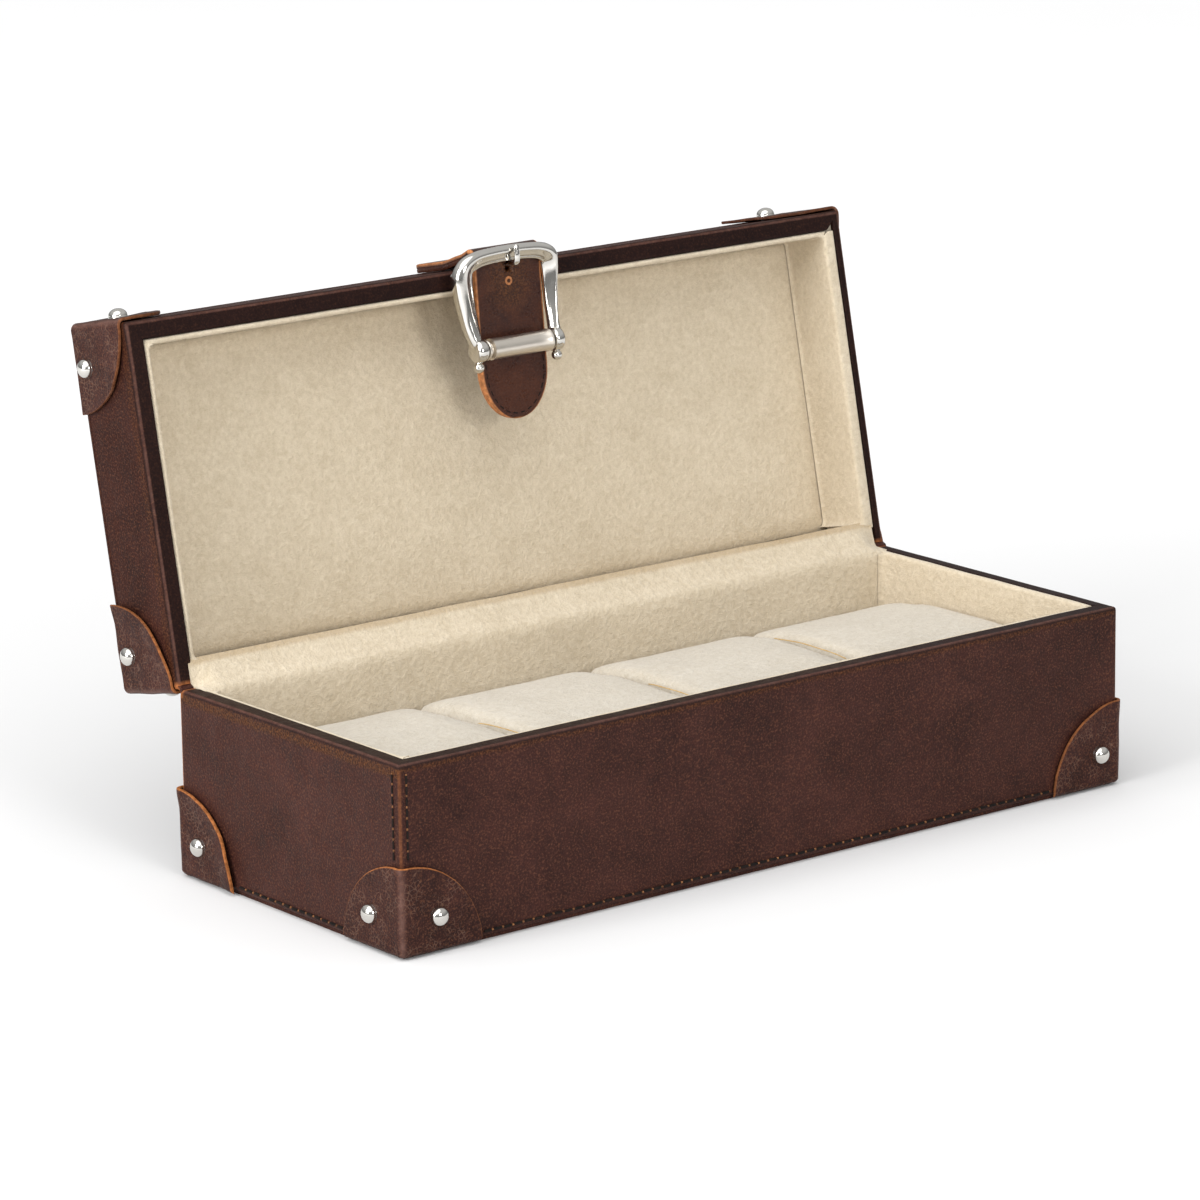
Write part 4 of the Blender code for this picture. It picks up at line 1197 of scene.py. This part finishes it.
def stitch_line(verts, faces, points, pitch, length, radius, seed, shift=0.0):
    """Stitches along a run of points, each a little out of line."""
    coords = np.array([p[:] for p in points])
    runs = np.cumsum([0.0] + [(b - a).length for a, b in zip(points, points[1:])])
    count = int(runs[-1] / pitch)

    def at(distance):
        return Vector([np.interp(distance, runs, coords[:, k]) for k in range(3)])

    for n in range(count):
        middle = (n + 0.5 + shift) * runs[-1] / count
        half = length / 2 * (1.0 + 0.15 * wave(n, seed / 2.3, 2.3, 4.5))
        drop = Vector((0.0, 0.0, 0.0003 * wave(n, seed / 3.7, 3.7, 0.5)))
        add_stitch(verts, faces, at(middle - half) + drop, at(middle + half) + drop * 0.3, radius)


WALL_STITCH_OUT = 0.00010
STITCH_INSET = 0.0017
STITCH_FREE = 0.0295
STITCH_UP = 0.0031
HOLE_LENGTH = 0.0007


def wall_point(side, x, z):
    """A point a little outside a wall's face, where the thread lies."""
    return side_place(side) @ Vector((x, -WALL_STITCH_OUT, z))


def add_wall_stitches():
    """Thread along the base's lower edges and two of its upright corners, with the holes between stitches."""
    thread, holes = ([], []), ([], [])
    for n, side in enumerate(("front", "right", "left")):
        span = SIDES[side][2] / 2 - STITCH_FREE
        sway = [(x, 0.0002 * wave(x, 0.0, 30.0, 81.0 + n)) for x in np.linspace(-span, span, 30)]
        points = [wall_point(side, x, STITCH_UP + z) for x, z in sway]
        stitch_line(*thread, points, 0.0038, 0.0031, 0.00046, 83.0 + n)
        stitch_line(*holes, points, 0.0038, HOLE_LENGTH, 0.00034, 83.0 + n, shift=0.5)
    for side, end, inset in (("front", -1, 0.0026), ("left", 1, 0.0033)):
        x = end * (SIDES[side][2] / 2 - inset)
        points = [wall_point(side, x, z) for z in np.linspace(0.0300, 0.0572, 12)]
        stitch_line(*thread, points, 0.0034, 0.0025, 0.00036, 90.0 + end)
        stitch_line(*holes, points, 0.0034, HOLE_LENGTH, 0.00030, 90.0 + end, shift=0.5)
    settle(make_mesh("base_stitches", *thread, THREAD, merge=False), "base", "box_leather")
    settle(make_mesh("base_stitch_holes", *holes, HOLE_EDGE, merge=False), "base", "box_leather")


def add_strap_stitches():
    """Thread round the flap's tip."""
    thread = ([], [])
    half = STRAP_HALF - STITCH_INSET
    tip = STRAP_TIP - STITCH_INSET
    straight = np.linspace(0.0335, SHOULDER, 3)
    turns = np.linspace(0.1, pi - 0.1, 24)
    outline = [(-half, down) for down in straight]
    outline += [(-half * cos(a), SHOULDER + tip * sin(a)) for a in turns]
    outline += [(half, down) for down in straight[::-1]]
    points = []
    for x, down in outline:
        points.append(flap_point(STRAP_X + x, down, STRAP_THICK + flap_curl(down) - 0.00005))
    stitch_line(*thread, points, 0.0029, 0.0019, 0.00022, 95.0)
    settle(make_mesh("strap_stitches", *thread, THREAD, merge=False), "strap_flap", "strap_leather")


add_wall_stitches()
add_strap_stitches()

# ---------------------------------------------------------------- cushions

CUSHION_PITCH = 0.0684
CUSHION_HALF = 0.0333
COVER_HALF = 0.03412
COVER_MOVE = 0.0028
COVER_OUT = 0.0010
COVER_VOXEL = 0.0040
CUSHION_DEPTH = 0.0467
SQUARENESS = 0.54
CUSHION_TOP = 0.0495
CUSHION_LOW = 0.0078


def cushion_centre(number):
    return (number - 2.5) * CUSHION_PITCH


def cushion_start(number):
    """A soft roll, a little smaller than the finished cushion."""
    middle = (CUSHION_TOP + CUSHION_LOW) / 2
    half_z = (CUSHION_TOP - CUSHION_LOW) / 2 - 0.0009
    rings = []
    sections = [(-1.0, 0.91), (-0.985, 0.955), (-0.95, 0.982), (-0.88, 0.995)]
    sections += [(x, 1.0) for x in (-0.7, -0.5, -0.3, -0.1, 0.1, 0.3, 0.5, 0.7)]
    sections += [(-x, scale) for x, scale in sections[3::-1]]
    for along, scale in sections:
        ring = []
        for i in range(48):
            across, up = cos(tau * i / 48), sin(tau * i / 48)
            y = copysign(abs(across) ** SQUARENESS, across) * CUSHION_DEPTH * scale
            z = copysign(abs(up) ** SQUARENESS, up) * half_z * scale
            swell = 1.0 + 0.012 * wave(along, i * 0.13, 1.7, 100.0 + number)
            x = cushion_centre(number) + along * CUSHION_HALF
            ring.append(Vector((x, y * swell, middle + z * swell)))
        rings.append(ring)
    return loft(f"cushion_{number}_cover", rings, CUSHION_SUEDE)


def add_cushions():
    made = []
    for number in range(1, 5):
        cushion = cushion_start(number)
        remesh = cushion.modifiers.new("even", "REMESH")
        remesh.mode = "VOXEL"
        remesh.voxel_size = COVER_VOXEL
        apply_modifiers(cushion)
        made.append(cushion)
    before = [np.array([v.co[:] for v in c.data.vertices]) for c in made]
    inflate(made)
    for number, (cushion, start) in enumerate(zip(made, before), 1):
        move = np.array([v.co[:] for v in cushion.data.vertices]) - start
        move *= np.minimum(1.0, COVER_MOVE / np.maximum(np.linalg.norm(move, axis=1, keepdims=True), 1e-9))
        low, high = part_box(f"cushion_{number}")
        middle = cushion_centre(number)
        lowest = (middle - COVER_HALF, low.y - COVER_OUT, CUSHION_LOW - 0.0001)
        highest = (middle + COVER_HALF, high.y + COVER_OUT, high.z + COVER_OUT)
        place = np.clip(start + move, lowest, highest)
        for vertex, co in zip(cushion.data.vertices, place):
            if co[2] > 0.03:
                co[2] += 0.00025 * wave(co[0], co[1], 60.0, 110.0 + number)
            vertex.co = co
        subdivide = cushion.modifiers.new("fine", "SUBSURF")
        subdivide.levels = 1
        subdivide.render_levels = 1
        apply_modifiers(cushion)
        cushion.data.shade_smooth()
        settle(cushion, f"cushion_{number}", "cushion_suede", f"cushion_{number}")


COVER_FRAMES = 20
COVER_CLOTH = {
    "quality": 6, "mass": 0.15, "use_pressure": True, "uniform_pressure_force": 4.0, "bending_stiffness": 0.8,
    "tension_stiffness": 25.0, "compression_stiffness": 25.0,
}


def inflate(pieces):
    """Lets each cover settle as cloth that is blown up a little."""
    scene = bpy.context.scene
    spans = [scene]
    for piece in pieces:
        cloth = piece.modifiers.new("cover", "CLOTH")
        for setting, value in COVER_CLOTH.items():
            setattr(cloth.settings, setting, value)
        cloth.settings.effector_weights.gravity = 0.0
        spans.append(cloth.point_cache)
    for span in spans:
        span.frame_start = 1
        span.frame_end = COVER_FRAMES
    for number in range(1, COVER_FRAMES + 1):
        scene.frame_set(number)
    for piece in pieces:
        apply_modifiers(piece)
    scene.frame_set(1)


SEAM_RADIUS = 0.00020
SEAM_SPANS = ((-0.030, 0.004), (-0.022, 0.006), (-0.012, 0.024))


def add_seam_threads():
    """A thin tan thread along each seam between two cushions."""
    rise = Vector((0.0, 0.0, 1.0))
    for number, span in enumerate(SEAM_SPANS, 1):
        points = []
        for i, y in enumerate(np.linspace(*span, 9)):
            x = cushion_centre(number + 0.5) - 0.0008 + 0.0012 * wave(y, number, 70.0, 121.0)
            sink = 0.0010 * (abs(i - 4) / 4.0) ** 2
            points.append((x, y, 0.0477 - sink + 0.0002 * wave(y, number, 90.0, 125.0)))
        rows = smooth_run(points, 4, False)
        rings = []
        for i, row in enumerate(rows):
            across = Vector(heading(rows, i)).cross(rise).normalized()
            thin = SEAM_RADIUS * (1.0 + 0.3 * wave(row[1], 2.0, 400.0, 130.0))
            if i in (0, len(rows) - 1):
                thin *= 0.4
            rings.append(circle(Vector(row), across * thin, rise * thin, 8))
        settle(loft(f"cushion_seam_{number}", rings, TAN_THREAD), f"cushion_{number}", "cushion_suede")


add_cushions()
add_seam_threads()

# ---------------------------------------------------------------- carried-over nodes

for entry in frame["record"]["subparts"]:
    slots = frame["nodes"][entry["node"]].data.materials
    slots.clear()
    slots.append(SLOTS[entry["material_slot"]])

# ---------------------------------------------------------------- studio


FLOOR_HALF = 10.0
FLOOR_STEPS = 40
LAMPS = (("key", (-0.25, -1.6, 0.62), 0.45, 9.5), ("left", (-1.8, -0.1, 0.75), 0.9, 24.0))
CAMERA_LENS = 165.17
CAMERA_PLACE = (-1.0574, -1.3213, 0.5009)
CAMERA_TURN = (75.894, 0.811, -38.238)
LIT_POINT = Vector((0.0, 0.02, 0.08))


def add_floor():
    shader = Shader("floor")
    reach = shader.node("ShaderNodeVectorMath", {0: shader.place()}, operation="LENGTH").outputs["Value"]
    # The floor is painted darker near the box (0.80 within 0.2 m, rising to 0.96 beyond 0.75 m): painted shade
    # round the box.
    shade_near_box = shader.span(reach, 0.20, 0.75, 0.80, 0.96)
    tone = shader.times(shade_near_box, shader.span(shader.noise(shader.place(), 3.0), 0.3, 0.7, 0.985, 1.0))
    grey = shader.node("ShaderNodeCombineColor", {"Red": tone, "Green": tone, "Blue": tone}).outputs["Color"]
    material = shader.finish(Base_Color=grey, Roughness=0.9, Specular_IOR_Level=0.1)
    marks = np.linspace(-FLOOR_HALF, FLOOR_HALF, FLOOR_STEPS + 1)
    verts = [(x, y, -0.0001) for x in marks for y in marks]
    make_mesh("floor", verts, grid_faces(FLOOR_STEPS, FLOOR_STEPS), material, merge=False)


def add_light(name, place, size, power):
    """A square lamp that points at the box."""
    data = bpy.data.lights.new(name, "AREA")
    data.size = size
    data.energy = power
    lamp = bpy.data.objects.new(name, data)
    lamp.location = place
    lamp.rotation_euler = (LIT_POINT - Vector(place)).to_track_quat("-Z", "Y").to_euler()
    bpy.context.scene.collection.objects.link(lamp)


def add_studio():
    scene = bpy.context.scene
    sky_light = Shader("studio", "worlds", "Background")
    direction = sky_light.node("ShaderNodeTexCoord", {}).outputs["Generated"]
    height = sky_light.node("ShaderNodeSeparateXYZ", {0: direction}).outputs["Z"]
    strength = sky_light.span(height, 0.02, 0.55, 0.20, 0.66)
    scene.world = sky_light.finish(Color=(1.0, 1.0, 1.0, 1.0), Strength=strength)
    for lamp in LAMPS:
        add_light(*lamp)
    data = bpy.data.lights.new("sky", "SUN")
    data.energy = 1.40
    data.angle = radians(70.0)
    sky = bpy.data.objects.new("sky", data)
    sky.rotation_euler = Vector((-0.45, -0.25, 1.0)).to_track_quat("Z", "Y").to_euler()
    scene.collection.objects.link(sky)
    add_floor()
    camera = bpy.data.cameras.new("camera")
    camera.lens = CAMERA_LENS
    camera.sensor_width = 36.0
    camera.clip_start = 0.05
    camera.clip_end = 40.0
    seat = bpy.data.objects.new("camera", camera)
    seat.location = CAMERA_PLACE
    seat.rotation_euler = [radians(degrees) for degrees in CAMERA_TURN]
    scene.collection.objects.link(seat)
    scene.camera = seat
    scene.view_settings.view_transform = "Standard"


add_studio()
